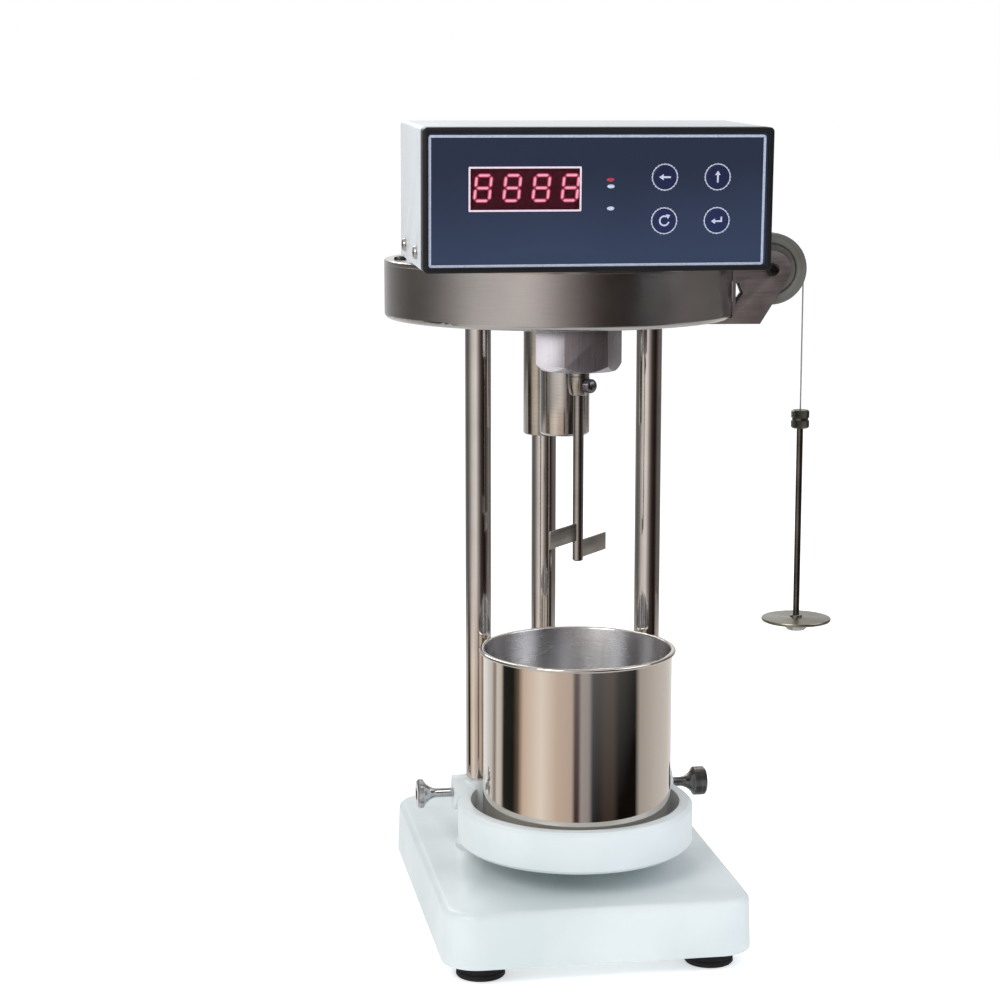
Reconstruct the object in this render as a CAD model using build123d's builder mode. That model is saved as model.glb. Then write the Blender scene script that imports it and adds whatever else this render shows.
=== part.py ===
from build123d import *
import math
import os

os.makedirs("parts", exist_ok=True)

# Rotational viscometer turned by a falling weight, sizes in millimetres.
# The origin lies on the bench under the middle of the head. +Z is up and the front faces -Y.

# Stand
base_width = 140.0
base_front = -115.0
base_rear = 75.0
base_height = 25.0
base_wall = 5.0
base_corner = 16.0
base_draft = 2.0
base_edge = 3.5
foot_height = 8.0
foot_radius = 11.0
foot_inset = 18.0
foot_recess = 4.0
foot_recess_radius = 4.5
foot_screw_depth = 10.0
column_span = 250.0
column_radius = 6.0
column_boss_radius = 11.0
column_boss_height = 3.0
column_socket = 5.0
column_thread_depth = 16.0
column_post_height = 15.0
front_column_x = 40.3
front_column_y = -16.3
rear_column_y = 34.9
sleeve_radius = 10.0
sleeve_length = 60.0

# Screws
m3_radius = 1.5
m3_head_radius = 2.9
m3_head_height = 1.6
m4_radius = 2.0
m4_head_radius = 3.5
m4_head_height = 2.2
m6_radius = 3.0
m6_head_radius = 5.0
m6_head_height = 4.0
screw_hole_clearance = 0.1

# Head drum
head_radius = 81.0
head_height = 25.0
head_floor = 4.0
head_wall = 4.0
head_edge = 2.5
lid_thickness = 2.2
lid_screw_count = 6
lid_screw_ring = 74.0
lid_screw_length = 10.0
side_screw_length = 5.0
screw_hole_spare = 2.0
screw_end_spare = 1.0
lid_low_head_height = 0.4
lid_boss_radius = 4.5

# Wheel work: 20 degree involute teeth
gear_module = 1.0
gear_backlash = 0.12
gear_width = 4.0
spool_teeth = 46
idler_pinion_teeth = 18
idler_gear_teeth = 48
rotor_pinion_teeth = 18
idler_y = -18.2
lower_gear_height = 9.0
upper_gear_height = 15.0
bridge_height = 21.5
bridge_thickness = 2.5
bridge_pillar_radius = 4.0
bridge_pillar_x = 32.0
bridge_pillar_front = -45.0
bridge_pillar_rear = 20.0
bridge_border = 6.0
bridge_slot_x = 24.0
bridge_slot = (36.0, 10.0)
bridge_thread_depth = 10.0
encoder_radius = 14.0
encoder_thickness = 0.8
encoder_slots = 16
encoder_slot = (2.4, 1.6)
encoder_height = 17.0
gate_width = 10.0
gate_depth = 11.0
gate_slot = 2.8
gate_rise = 4.5

# Bearings and shafts
running_clearance = 0.05
fixed_clearance = 0.02
idler_shaft_radius = 3.0
idler_housing_radius = 11.5
idler_housing_length = 53.0
idler_bush_radius = 6.0
idler_bush_length = 8.0
idler_housing_floor = 4.0
hex_circumradius = 19.6
hex_nose_radius = 16.8
hex_nose_angle = 45.0
hex_length = 19.6
housing_spigot_radius = 9.5
ring_nut_radius = 13.0
ring_nut_height = 3.0
spindle_radius = 4.0
ball_bearing_radius = 8.0
ball_bearing_width = 5.0
bearing_lip = 1.2
spool_shaft_radius = 4.0
spool_bearing_radius = 7.0
spool_bearing_flange = 10.0
spool_bearing_rise = 2.0
friction_washer_thickness = 1.0

# Chuck and paddle
chuck_radius = 4.8
chuck_length = 10.9
chuck_gap = 0.5
paddle_shaft_radius = 2.4
paddle_bottom_drop = 106.7
paddle_grip = 8.5
blade_span = 54.0
blade_height = 8.0
blade_thickness = 1.0
blade_angle = 51.0
blade_lift = 1.0
blade_gap = 0.4
chuck_screw_angle = -59.0
chuck_screw_radius = 1.5
chuck_screw_head_radius = 3.2
chuck_screw_head_length = 4.0
chuck_screw_rise = 4.6
chuck_screw_stand_off = 0.8
shaft_edge = 0.4

# Drive cord, spool and pulley
cord_radius = 0.4
spool_cord_radius = 18.4
spool_flange_radius = 22.0
spool_flange = 1.8
spool_turns = 7
spool_clearance = 0.3
winding_knob_radius = 15.0
winding_knob_height = 14.0
winding_knob_flutes = 12
winding_knob_gap = 1.0
winding_knob_roof = 3.0
pulley_x = 97.8
pulley_y = -16.0
pulley_height = 22.3
pulley_radius = 16.7
pulley_cord_radius = 15.6
pulley_width = 7.0
pulley_hub_radius = 5.0
pulley_recess = 1.5
pulley_lip = 0.4
groove_half = 1.9
groove_flat = 0.5
pulley_axle_radius = 2.0
axle_head_radius = 3.0
axle_head = 1.8
axle_nut_radius = 4.2
axle_nut = 3.0
bracket_cheek = 3.0
bracket_side_gap = 0.5
bracket_nose_radius = 8.6
bracket_foot_drop = 3.0
bracket_wall_gap = 0.3
bracket_back = -22.0
bracket_toe = -5.4
bracket_rise = 5.2
bracket_window = ((-17.0, -6.0), (-15.4, -6.0), (-13.2, -11.4), (-17.0, -16.4))
bracket_foot_ends = (-33.7, -8.0)
bracket_screw_back = 27.0
bracket_screw_side = 4.0

# Weight hanger
hanger_cord_length = 66.5
hanger_nut_radius = 4.25
hanger_nut_height = 8.6
hanger_rod_radius = 1.5
hanger_rod_length = 92.0
hanger_disc_radius = 16.5
hanger_disc_thickness = 1.6
hanger_boss_radius = 5.5
hanger_boss_height = 4.5
hanger_collar = (2.8, 1.4)
hanger_rod_grip = 5.0

# Sample cup and its sliding platform
cup_inner_radius = 42.5
cup_wall = 0.8
cup_height = 87.0
cup_brim_radius = 45.0
cup_corner = 5.0
cup_brim = 2.2
platform_top = 63.3
platform_radius = 54.3
platform_setback = 3.3
platform_wall = 6.0
platform_height = 19.0
platform_floor = 4.7
platform_edge = 1.5
lug_radius = 9.0
lug_rise = 3.2
clamp_height = 59.7
clamp_boss_radius = 8.2
clamp_boss_reach = 52.5
clamp_stem_radius = 2.2
clamp_stem_reach = 62.0
clamp_cone_reach = 66.5
clamp_head_reach = 70.0
clamp_head_radius = 6.8
thread_clearance = 0.05

# Control box, leaning forward on the head
box_width = 151.4
box_height = 61.0
box_depth = 77.7
box_lean = 2.036
box_front_y = -94.43
box_lift = 26.8
box_sheet = 1.2
box_corner = 2.0
box_side_screw_height = 7.0
box_side_screw_depths = (22.0, 60.0)
bezel_depth = 8.0
bezel_frame = 2.2
bezel_ledge = 2.0
panel_setback = 0.8
panel_thickness = 1.8
panel_clearance = 0.1
window_inset = 43.6
window_height = 35.2
window_width = 47.5
window_rise = 18.0
window_thickness = 1.5
key_insets = (47.5, 24.4)
key_rows = (21.5, 40.0)
key_radius = 5.0
key_flange_radius = 6.0
key_travel = 0.8
key_stem_radius = 1.75
key_clearance = 0.15
board_thickness = 1.6
display_board_depth = 12.0
display_board_border = 8.7
board_post_radius = 2.5
board_post_side = 13.7
board_post_inset = 8.0
switch_depth = 3.2
switch_size = 6.0
tray_flange = 14.0
spacer_radius = 5.0
spacer_x = 50.0
spacer_rows = (-56.0, -28.0)
cable_hole = (0.0, -58.0)
cable_hole_radius = 5.0

# Main board on the tray, x and depth from the front face
main_board_size = (96.0, 50.0)
main_board_middle = (8.0, 44.0)
standoff_height = 5.0
standoff_radius = 3.0
standoff_inset = 5.0
transformer_middle = (-14.0, 40.0)
transformer_size = (38.0, 32.0)
transformer_height = 24.0

# Mains inlet and rocker switch, seen from behind
rear_row_drop = 23.0
rear_flange = 2.0
inlet_side = 29.7
inlet_size = (27.4, 31.0)
inlet_border = 2.3
inlet_depth = 18.0
inlet_mouth = (24.0, 16.0)
inlet_mouth_depth = 15.0
inlet_mouth_drop = 5.0
inlet_blade = (2.0, 4.0)
inlet_blade_length = 13.0
inlet_blade_pitch = 7.0
earth_blade_rise = 4.0
fuse_drawer = (20.0, 7.0)
fuse_drawer_rise = 10.0
fuse_drawer_groove = 0.6
switch_pitch = 34.0
switch_hole = (19.4, 13.2)
switch_border = 1.7
switch_body_depth = 14.0
switch_well_depth = 9.0
hole_clearance = 0.1
rocker_length = 14.4
rocker_width = 8.6
rocker_tilt = 8.0
rocker_crest = 3.6
rocker_dip = 2.2
rocker_side = 1.5
rocker_keel = 4.0
rocker_gap = (1.2, 0.4)

# Levels and places worked out from the sizes above
base_depth = base_rear - base_front
base_middle = (base_rear + base_front) / 2
base_top = foot_height + base_height
head_z = base_top + column_span
head_floor_z = head_z + head_floor
lid_z = head_z + head_height
lid_top_z = lid_z + lid_thickness
idler_centre = (0.0, idler_y)
spool_centre = (0.0, idler_y + gear_module * (spool_teeth + idler_pinion_teeth) / 2)
rotor_centre = (0.0, idler_y - gear_module * (idler_gear_teeth + rotor_pinion_teeth) / 2)
platform_centre = (rotor_centre[0], rotor_centre[1] + platform_setback)
box_rear_y = box_front_y + box_depth
window_x = window_inset - box_width / 2
key_columns = [box_width / 2 - inset for inset in key_insets]
column_places = [
    (-front_column_x, front_column_y),
    (front_column_x, front_column_y),
    (0.0, rear_column_y),
]
pillar_places = [
    (side * bridge_pillar_x, end)
    for side in (-1, 1)
    for end in (bridge_pillar_front, bridge_pillar_rear)
]
foot_places = [
    (side * (base_width / 2 - foot_inset), end)
    for side in (-1, 1)
    for end in (base_front + foot_inset, base_rear - foot_inset)
]


def polar_point(radius, angle):
    return (radius * math.cos(angle), radius * math.sin(angle))


def turned(outline, plane=Plane.XZ):
    # An outline of (radius, height) points, turned about the plane's own upright axis.
    with BuildPart() as body:
        with BuildSketch(plane):
            with BuildLine():
                Polyline(*outline, close=True)
            make_face()
        revolve(axis=Axis(plane.origin, plane.y_dir))
    return body.part


def cap_screw(shank_radius, shank_length, head_radius, head_height):
    # The head stands on z = 0 with its hexagon socket upwards, and the shank hangs below.
    with BuildPart() as screw:
        with BuildSketch():
            Circle(head_radius)
        extrude(amount=head_height)
        with BuildSketch(Plane.XY.offset(head_height)):
            RegularPolygon(radius=head_radius * 0.55, side_count=6)
        extrude(amount=-head_height * 0.5, mode=Mode.SUBTRACT)
        with BuildSketch():
            Circle(shank_radius)
        extrude(amount=-shank_length)
    return screw.part


def pan_screw(shank_radius, shank_length, head_radius, head_height):
    with BuildPart() as screw:
        with BuildSketch():
            Circle(head_radius)
        extrude(amount=head_height)
        chamfer(screw.edges().sort_by(Axis.Z)[-1], head_height * 0.4)
        with BuildSketch():
            Circle(shank_radius)
        extrude(amount=-shank_length)
    return screw.part


def ring_body(outer_radius, inner_radius, height):
    with BuildPart() as ring:
        with BuildSketch():
            Circle(outer_radius)
            Circle(inner_radius, mode=Mode.SUBTRACT)
        extrude(amount=height)
    return ring.part


def involute_gear(teeth, bore_radius, tooth_angle, width=gear_width, module=gear_module):
    # Each flank is an arc through three points of the true involute.
    pressure = math.radians(20)
    pitch_radius = module * teeth / 2
    base_radius = pitch_radius * math.cos(pressure)
    root_radius = pitch_radius - 1.25 * module
    tip_radius = pitch_radius + module
    flank_radius = max(base_radius, root_radius)
    middle_radius = (flank_radius + tip_radius) / 2
    pitch_half = math.pi / (2 * teeth) - gear_backlash / (2 * pitch_radius)
    pitch_involute = math.tan(pressure) - pressure

    def half_tooth(radius):
        roll = math.acos(min(1.0, base_radius / radius))
        return pitch_half + pitch_involute - (math.tan(roll) - roll)

    def flank(centre, side, radii):
        return [polar_point(r, centre + side * half_tooth(r)) for r in radii]

    rising = (flank_radius, middle_radius, tip_radius)
    step = 2 * math.pi / teeth
    with BuildPart() as gear:
        with BuildSketch():
            with BuildLine():
                for tooth in range(teeth):
                    centre = math.radians(tooth_angle) + tooth * step
                    up = flank(centre, -1, rising)
                    down = flank(centre, 1, rising[::-1])
                    after = flank(centre + step, -1, rising)[0]
                    ThreePointArc(*up)
                    Line(up[2], down[0])
                    ThreePointArc(*down)
                    if flank_radius > root_radius:
                        root_half = half_tooth(flank_radius)
                        leave = polar_point(root_radius, centre + root_half)
                        reach = polar_point(root_radius, centre + step - root_half)
                        Line(down[2], leave)
                        Line(leave, reach)
                        Line(reach, after)
                    else:
                        Line(down[2], after)
            make_face()
            Circle(bore_radius, mode=Mode.SUBTRACT)
        extrude(amount=width)
    return gear.part


def save(builder, name):
    builder.part.label = name
    export_step(builder.part, f"parts/{name}.step")


# Base casting: a drafted tray, open below, with posts under the columns and the feet
post_bottom = base_top - column_post_height
with BuildPart() as base_casting:
    with BuildSketch(Plane.XY.offset(foot_height)):
        with Locations((0, base_middle)):
            RectangleRounded(base_width, base_depth, base_corner)
    extrude(amount=base_height, taper=base_draft)
    fillet(base_casting.faces().sort_by(Axis.Z)[-1].edges(), base_edge)
    with BuildSketch(Plane.XY.offset(foot_height)):
        with Locations((0, base_middle)):
            RectangleRounded(
                base_width - 2 * base_wall, base_depth - 2 * base_wall, base_corner - base_wall
            )
    extrude(amount=base_height - base_wall, taper=base_draft, mode=Mode.SUBTRACT)
    with BuildSketch(Plane.XY.offset(foot_height)):
        with Locations(*foot_places):
            Circle(foot_radius - 2)
    extrude(amount=base_height - base_wall)
    with BuildSketch(Plane.XY.offset(post_bottom)):
        with Locations(*column_places):
            Circle(column_boss_radius)
    extrude(amount=base_top + column_boss_height - post_bottom)
    boss_tops = base_casting.edges().group_by(Axis.Z)[-1]
    chamfer(boss_tops, 1.0)
    with Locations(*[(x, y, base_top + column_boss_height) for x, y in column_places]):
        CounterBoreHole(
            m6_radius + running_clearance,
            column_radius + running_clearance,
            column_socket,
        )
    with BuildSketch(Plane.XY.offset(foot_height)):
        with Locations(*foot_places):
            Circle(m4_radius + running_clearance)
    extrude(amount=foot_screw_depth + 1, mode=Mode.SUBTRACT)
save(base_casting, "base_casting")

# Rubber feet, hollowed below for their screws
with BuildPart() as rubber_feet:
    with BuildSketch():
        with Locations(*foot_places):
            Circle(foot_radius)
    extrude(amount=foot_height, taper=6)
    with Locations(*[(x, y, 0) for x, y in foot_places]):
        Cylinder(
            foot_recess_radius,
            foot_recess,
            align=(Align.CENTER, Align.CENTER, Align.MIN),
            mode=Mode.SUBTRACT,
        )
        Cylinder(
            m4_radius + running_clearance,
            foot_height,
            align=(Align.CENTER, Align.CENTER, Align.MIN),
            mode=Mode.SUBTRACT,
        )
save(rubber_feet, "rubber_feet")

# Columns, tapped at both ends and held by a screw from each side
column_bottom = base_top + column_boss_height - column_socket
column_groups = (("front_columns", column_places[:2]), ("rear_column", column_places[2:]))
for column_name, places in column_groups:
    with BuildPart() as column:
        with BuildSketch(Plane.XY.offset(column_bottom)):
            with Locations(*places):
                Circle(column_radius)
        extrude(amount=head_z - column_bottom)
        chamfer(column.edges(), 0.4)
        with Locations(*[(x, y, head_z) for x, y in places]):
            Hole(m6_radius + fixed_clearance, column_thread_depth)
        with BuildSketch(Plane.XY.offset(column_bottom)):
            with Locations(*places):
                Circle(m6_radius + fixed_clearance)
        extrude(amount=column_thread_depth, mode=Mode.SUBTRACT)
    save(column, column_name)

base_screw_length = column_bottom - post_bottom + column_thread_depth - 2
base_screw = cap_screw(m6_radius, base_screw_length, m6_head_radius, m6_head_height)
head_screw_length = head_floor + column_thread_depth - 2
head_screw = cap_screw(m6_radius, head_screw_length, m6_head_radius, m6_head_height)
with BuildPart() as column_screws:
    with Locations(*[(x, y, post_bottom) for x, y in column_places]):
        add(base_screw, rotation=(180, 0, 0))
    with Locations(*[(x, y, head_floor_z) for x, y in column_places]):
        add(head_screw)
save(column_screws, "column_screws")

with BuildPart() as rear_column_sleeve:
    with Locations((0, rear_column_y, head_z - sleeve_length)):
        add(ring_body(sleeve_radius, column_radius + fixed_clearance, sleeve_length))
    chamfer(rear_column_sleeve.edges().group_by(Axis.Z)[0], 0.8)
save(rear_column_sleeve, "rear_column_sleeve")

# Cord path: level from the front of the spool, over the pulley and straight down
spool_to_pulley = (pulley_x - spool_centre[0], pulley_y - spool_centre[1])
cord_bearing = math.atan2(spool_to_pulley[1], spool_to_pulley[0])
cord_angle = cord_bearing + math.asin(spool_cord_radius / math.hypot(*spool_to_pulley))
cord_direction = Vector(math.cos(cord_angle), math.sin(cord_angle), 0)
pulley_centre = Vector(pulley_x, pulley_y, head_z + pulley_height)
pulley_normal = Vector(math.sin(cord_angle), -math.cos(cord_angle), 0)
pulley_plane = Plane(origin=pulley_centre, x_dir=cord_direction, z_dir=pulley_normal)
cord_level = pulley_centre.Z + pulley_cord_radius
hang_top = pulley_centre + cord_direction * pulley_cord_radius
spool_leave = Vector(*spool_centre, cord_level) + pulley_normal * spool_cord_radius

# Head drum, open on top, with the bores and screw posts that the wheel work needs
lid_screw_angles = [60.0 * i for i in range(lid_screw_count)]
lid_screw_places = [polar_point(lid_screw_ring, math.radians(a)) for a in lid_screw_angles]
bracket_cheek_outside = pulley_width / 2 + bracket_side_gap + bracket_cheek
bracket_screw_places = [
    pulley_centre - cord_direction * bracket_screw_back + pulley_normal * side
    for side in (-bracket_screw_side, bracket_screw_side)
]
with BuildPart() as head_shell:
    with BuildSketch(Plane.XY.offset(head_z)):
        Circle(head_radius)
    extrude(amount=head_height)
    fillet(head_shell.edges().sort_by(Axis.Z)[0], head_edge)
    with BuildSketch(Plane.XY.offset(head_floor_z)):
        Circle(head_radius - head_wall)
    extrude(amount=head_height - head_floor, mode=Mode.SUBTRACT)
    with BuildSketch(Plane.XY.offset(head_floor_z)):
        with Locations(*lid_screw_places):
            Circle(lid_boss_radius)
    extrude(amount=head_height - head_floor)
    with Locations(*[(x, y, lid_z) for x, y in lid_screw_places]):
        Hole(m3_radius + running_clearance, lid_screw_length + screw_hole_spare)
    with Locations(*[(x, y, head_floor_z) for x, y in column_places]):
        Hole(m6_radius + running_clearance, head_floor)
    with Locations((*idler_centre, head_floor_z), (*rotor_centre, head_floor_z)):
        Hole(housing_spigot_radius + fixed_clearance, head_floor)
    with Locations((*spool_centre, head_floor_z)):
        Hole(spool_bearing_radius + fixed_clearance, head_floor)
    with Locations(*[(p.X, p.Y, head_floor_z) for p in bracket_screw_places]):
        Hole(m4_radius + running_clearance, head_floor)
    with Locations(*[(x, y, head_floor_z) for x, y in pillar_places]):
        Hole(m3_radius + running_clearance, head_floor)
save(head_shell, "head_shell")

with BuildPart() as head_lid:
    with BuildSketch(Plane.XY.offset(lid_z)):
        Circle(head_radius)
        with Locations(*lid_screw_places):
            Circle(m3_radius + running_clearance, mode=Mode.SUBTRACT)
        with Locations(spool_centre):
            Circle(spool_bearing_radius + fixed_clearance, mode=Mode.SUBTRACT)
        with Locations(cable_hole):
            Circle(cable_hole_radius, mode=Mode.SUBTRACT)
    extrude(amount=lid_thickness)
    rim = head_lid.edges().filter_by(GeomType.CIRCLE).sort_by(SortBy.RADIUS)[-2:]
    chamfer(rim.sort_by(Axis.Z)[-1], 0.4)
save(head_lid, "head_lid")

# M3 screws of the lid, and from below into the pillars of the bridge
lid_screw = pan_screw(m3_radius, lid_screw_length, m3_head_radius, m3_head_height)
# The two that sit under the control box have thin heads
low_screw = pan_screw(m3_radius, lid_screw_length, m3_head_radius, lid_low_head_height)
bridge_screw = pan_screw(
    m3_radius,
    head_floor + bridge_thread_depth - screw_end_spare,
    m3_head_radius,
    m3_head_height,
)
with BuildPart() as m3_screws:
    for place in lid_screw_places:
        under_box = place[1] < box_rear_y
        with Locations((*place, lid_top_z)):
            add(low_screw if under_box else lid_screw)
    with Locations(*[(x, y, head_z) for x, y in pillar_places]):
        add(bridge_screw, rotation=(180, 0, 0))
save(m3_screws, "m3_screws")

# Rotor bearing block: a hexagon with a turned nose, and two ball bearings with a spacer sleeve
hex_plane = Plane.XY.offset(head_z - hex_length)
with BuildPart() as spindle_housing:
    with BuildSketch(hex_plane):
        with Locations(rotor_centre):
            RegularPolygon(radius=hex_circumradius, side_count=6)
    extrude(amount=hex_length)
    with BuildSketch(hex_plane):
        with Locations(rotor_centre):
            Circle(hex_nose_radius)
    extrude(amount=hex_length, taper=-hex_nose_angle, mode=Mode.INTERSECT)
    with BuildSketch(Plane.XY.offset(head_z)):
        with Locations(rotor_centre):
            Circle(housing_spigot_radius)
    extrude(amount=head_floor + ring_nut_height)
    with Locations((*rotor_centre, head_floor_z + ring_nut_height)):
        Hole(ball_bearing_radius - bearing_lip)
    with BuildSketch(hex_plane.offset(bearing_lip)):
        with Locations(rotor_centre):
            Circle(ball_bearing_radius + fixed_clearance)
    extrude(amount=hex_length + head_floor + ring_nut_height - bearing_lip, mode=Mode.SUBTRACT)
save(spindle_housing, "spindle_housing")

lower_bearing_z = head_z - hex_length + bearing_lip
upper_bearing_z = head_floor_z + ring_nut_height - ball_bearing_width
bearing_span = upper_bearing_z - lower_bearing_z - ball_bearing_width
bearing_hole = spindle_radius + running_clearance
spacer_gap = 0.1
ball_bearing = ring_body(ball_bearing_radius, bearing_hole, ball_bearing_width)
bearing_spacer = ring_body(
    ball_bearing_radius, ball_bearing_radius - 1, bearing_span - 2 * spacer_gap
)
with BuildPart() as spindle_bearings:
    with Locations((*rotor_centre, lower_bearing_z), (*rotor_centre, upper_bearing_z)):
        add(ball_bearing)
    with Locations((*rotor_centre, lower_bearing_z + ball_bearing_width + spacer_gap)):
        add(bearing_spacer)
save(spindle_bearings, "spindle_bearings")

with BuildPart() as housing_ring_nuts:
    with Locations((*rotor_centre, head_floor_z), (*idler_centre, head_floor_z)):
        add(
            ring_body(
                ring_nut_radius, housing_spigot_radius + fixed_clearance, ring_nut_height
            )
        )
save(housing_ring_nuts, "housing_ring_nuts")

# Idler bearing tube below the head, closed at its lower end
idler_tube_bottom = head_z - idler_housing_length
with BuildPart() as idler_housing:
    with BuildSketch(Plane.XY.offset(idler_tube_bottom)):
        with Locations(idler_centre):
            Circle(idler_housing_radius)
    extrude(amount=idler_housing_length)
    chamfer(idler_housing.edges().sort_by(Axis.Z)[0], 1.0)
    with BuildSketch(Plane.XY.offset(head_z)):
        with Locations(idler_centre):
            Circle(housing_spigot_radius)
    extrude(amount=head_floor + ring_nut_height)
    with Locations((*idler_centre, head_floor_z + ring_nut_height)):
        Hole(
            idler_bush_radius + fixed_clearance,
            idler_housing_length + head_floor + ring_nut_height - idler_housing_floor,
        )
save(idler_housing, "idler_housing")

idler_bush_top = head_floor_z + ring_nut_height - idler_bush_length
idler_bush_bottom = idler_tube_bottom + idler_housing_floor

# Bridge plate over the wheels, riveted to its four pillars, with the upper bearings in it
bridge_z = head_z + bridge_height
bridge_middle = (bridge_pillar_front + bridge_pillar_rear) / 2
with BuildPart() as gear_bridge:
    with BuildSketch(Plane.XY.offset(bridge_z)):
        with Locations((0, bridge_middle)):
            RectangleRounded(
                2 * (bridge_pillar_x + bridge_border),
                bridge_pillar_rear - bridge_pillar_front + 2 * bridge_border,
                bridge_border,
            )
        with Locations((-bridge_slot_x, bridge_middle), (bridge_slot_x, bridge_middle)):
            SlotOverall(*bridge_slot, rotation=90, mode=Mode.SUBTRACT)
        with Locations(idler_centre, rotor_centre):
            Circle(idler_shaft_radius + running_clearance, mode=Mode.SUBTRACT)
        with Locations(spool_centre):
            Circle(spool_shaft_radius + 0.3, mode=Mode.SUBTRACT)
    extrude(amount=bridge_thickness)
    with BuildSketch(Plane.XY.offset(head_floor_z)):
        with Locations(*pillar_places):
            Circle(bridge_pillar_radius)
    extrude(amount=bridge_z - head_floor_z)
    with BuildSketch(Plane.XY.offset(head_floor_z)):
        with Locations(*pillar_places):
            Circle(m3_radius + fixed_clearance)
    extrude(amount=bridge_thread_depth, mode=Mode.SUBTRACT)
save(gear_bridge, "gear_bridge")

# Light gate that counts the slots of the rotor's disc
gate_y = rotor_centre[1] - encoder_radius
gate_middle = head_z + encoder_height + encoder_thickness / 2
with BuildPart() as light_gate:
    with BuildSketch(Plane.XY.offset(head_floor_z)):
        with Locations((0, gate_y - 3)):
            RectangleRounded(gate_width, gate_depth, 1)
    extrude(amount=gate_middle + gate_rise - head_floor_z)
    with Locations((0, gate_y, gate_middle)):
        Box(gate_width + 1, gate_depth - 4, gate_slot, mode=Mode.SUBTRACT)
    with BuildSketch(Plane.XY.offset(head_floor_z)):
        with Locations(rotor_centre):
            Circle(ring_nut_radius + 0.3)
    extrude(amount=lower_gear_height + gear_width, mode=Mode.SUBTRACT)
save(light_gate, "light_gate")

# Spool, its shaft, gear, cord turns and winding knob
spool_height = 2 * (cord_level - lid_top_z - spool_bearing_rise - friction_washer_thickness)
spool_height = spool_height - 2 * spool_clearance
spool_bottom = cord_level - spool_height / 2
spool_top = cord_level + spool_height / 2
coil_height = 2 * cord_radius * spool_turns
coil_half = coil_height / 2 + 0.1
with BuildPart() as spool:
    add(
        turned(
            [
                (spool_shaft_radius + fixed_clearance, spool_bottom),
                (spool_bearing_radius + 0.5, spool_bottom),
                (spool_bearing_radius + 0.5, cord_level - coil_half - spool_flange),
                (spool_flange_radius, cord_level - coil_half - spool_flange),
                (spool_flange_radius, cord_level - coil_half - 0.6),
                (spool_cord_radius - cord_radius, cord_level - coil_half),
                (spool_cord_radius - cord_radius, cord_level + coil_half),
                (spool_flange_radius, cord_level + coil_half + 0.6),
                (spool_flange_radius, cord_level + coil_half + spool_flange),
                (spool_bearing_radius + 3, spool_top),
                (spool_shaft_radius + fixed_clearance, spool_top),
            ],
            Plane(origin=(*spool_centre, 0), x_dir=(1, 0, 0), z_dir=(0, -1, 0)),
        )
    )
save(spool, "spool")

with BuildPart() as spool_cord:
    with Locations((*spool_centre, cord_level - coil_height / 2)):
        add(
            ring_body(
                spool_cord_radius + cord_radius, spool_cord_radius - cord_radius, coil_height
            )
        )
save(spool_cord, "spool_cord")

knob_bottom = spool_top + winding_knob_gap
shaft_bottom = head_z + 1.0
with BuildPart() as spool_shaft:
    with BuildSketch(Plane.XY.offset(shaft_bottom)):
        with Locations(spool_centre):
            Circle(spool_shaft_radius)
    extrude(amount=knob_bottom + winding_knob_height - winding_knob_roof - shaft_bottom)
    chamfer(spool_shaft.edges(), 0.4)
save(spool_shaft, "spool_shaft")

with BuildPart() as spool_gear:
    with Locations((*spool_centre, head_z + upper_gear_height)):
        add(involute_gear(spool_teeth, spool_shaft_radius + fixed_clearance, -90))
save(spool_gear, "spool_gear")

with BuildPart() as winding_knob:
    with BuildSketch(Plane.XY.offset(knob_bottom)):
        with Locations(spool_centre):
            Circle(winding_knob_radius)
            with PolarLocations(winding_knob_radius + 2.2, winding_knob_flutes):
                Circle(3.4, mode=Mode.SUBTRACT)
    extrude(amount=winding_knob_height)
    chamfer(winding_knob.faces().sort_by(Axis.Z)[-1].edges(), 0.6)
    with BuildSketch(Plane.XY.offset(knob_bottom)):
        with Locations(spool_centre):
            Circle(spool_shaft_radius + fixed_clearance)
    extrude(amount=winding_knob_height - winding_knob_roof, mode=Mode.SUBTRACT)
save(winding_knob, "winding_knob")

idler_bush = ring_body(
    idler_bush_radius, idler_shaft_radius + running_clearance, idler_bush_length
)
with BuildPart() as bronze_bushes:
    with Locations((*idler_centre, idler_bush_top), (*idler_centre, idler_bush_bottom)):
        add(idler_bush)
    add(
        turned(
            [
                (spool_shaft_radius + running_clearance, lid_z),
                (spool_bearing_radius, lid_z),
                (spool_bearing_radius, lid_top_z),
                (spool_bearing_flange, lid_top_z),
                (spool_bearing_flange, lid_top_z + spool_bearing_rise),
                (spool_shaft_radius + running_clearance, lid_top_z + spool_bearing_rise),
            ],
            Plane(origin=(*spool_centre, 0), x_dir=(1, 0, 0), z_dir=(0, -1, 0)),
        )
    )
    add(
        turned(
            [
                (0, head_z),
                (spool_bearing_radius, head_z),
                (spool_bearing_radius, head_floor_z),
                (spool_bearing_flange, head_floor_z),
                (spool_bearing_flange, head_floor_z + 3),
                (spool_shaft_radius + running_clearance, head_floor_z + 3),
                (spool_shaft_radius + running_clearance, shaft_bottom - running_clearance),
                (0, shaft_bottom - running_clearance),
            ],
            Plane(origin=(*spool_centre, 0), x_dir=(1, 0, 0), z_dir=(0, -1, 0)),
        )
    )
save(bronze_bushes, "bronze_bushes")

# Sprung washer that holds the wound spool until the weight is let go
with BuildPart() as friction_washer:
    with Locations((*spool_centre, lid_top_z + spool_bearing_rise)):
        add(
            ring_body(
                spool_bearing_flange - 1,
                spool_shaft_radius + 0.3,
                friction_washer_thickness,
            )
        )
save(friction_washer, "friction_washer")

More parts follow.
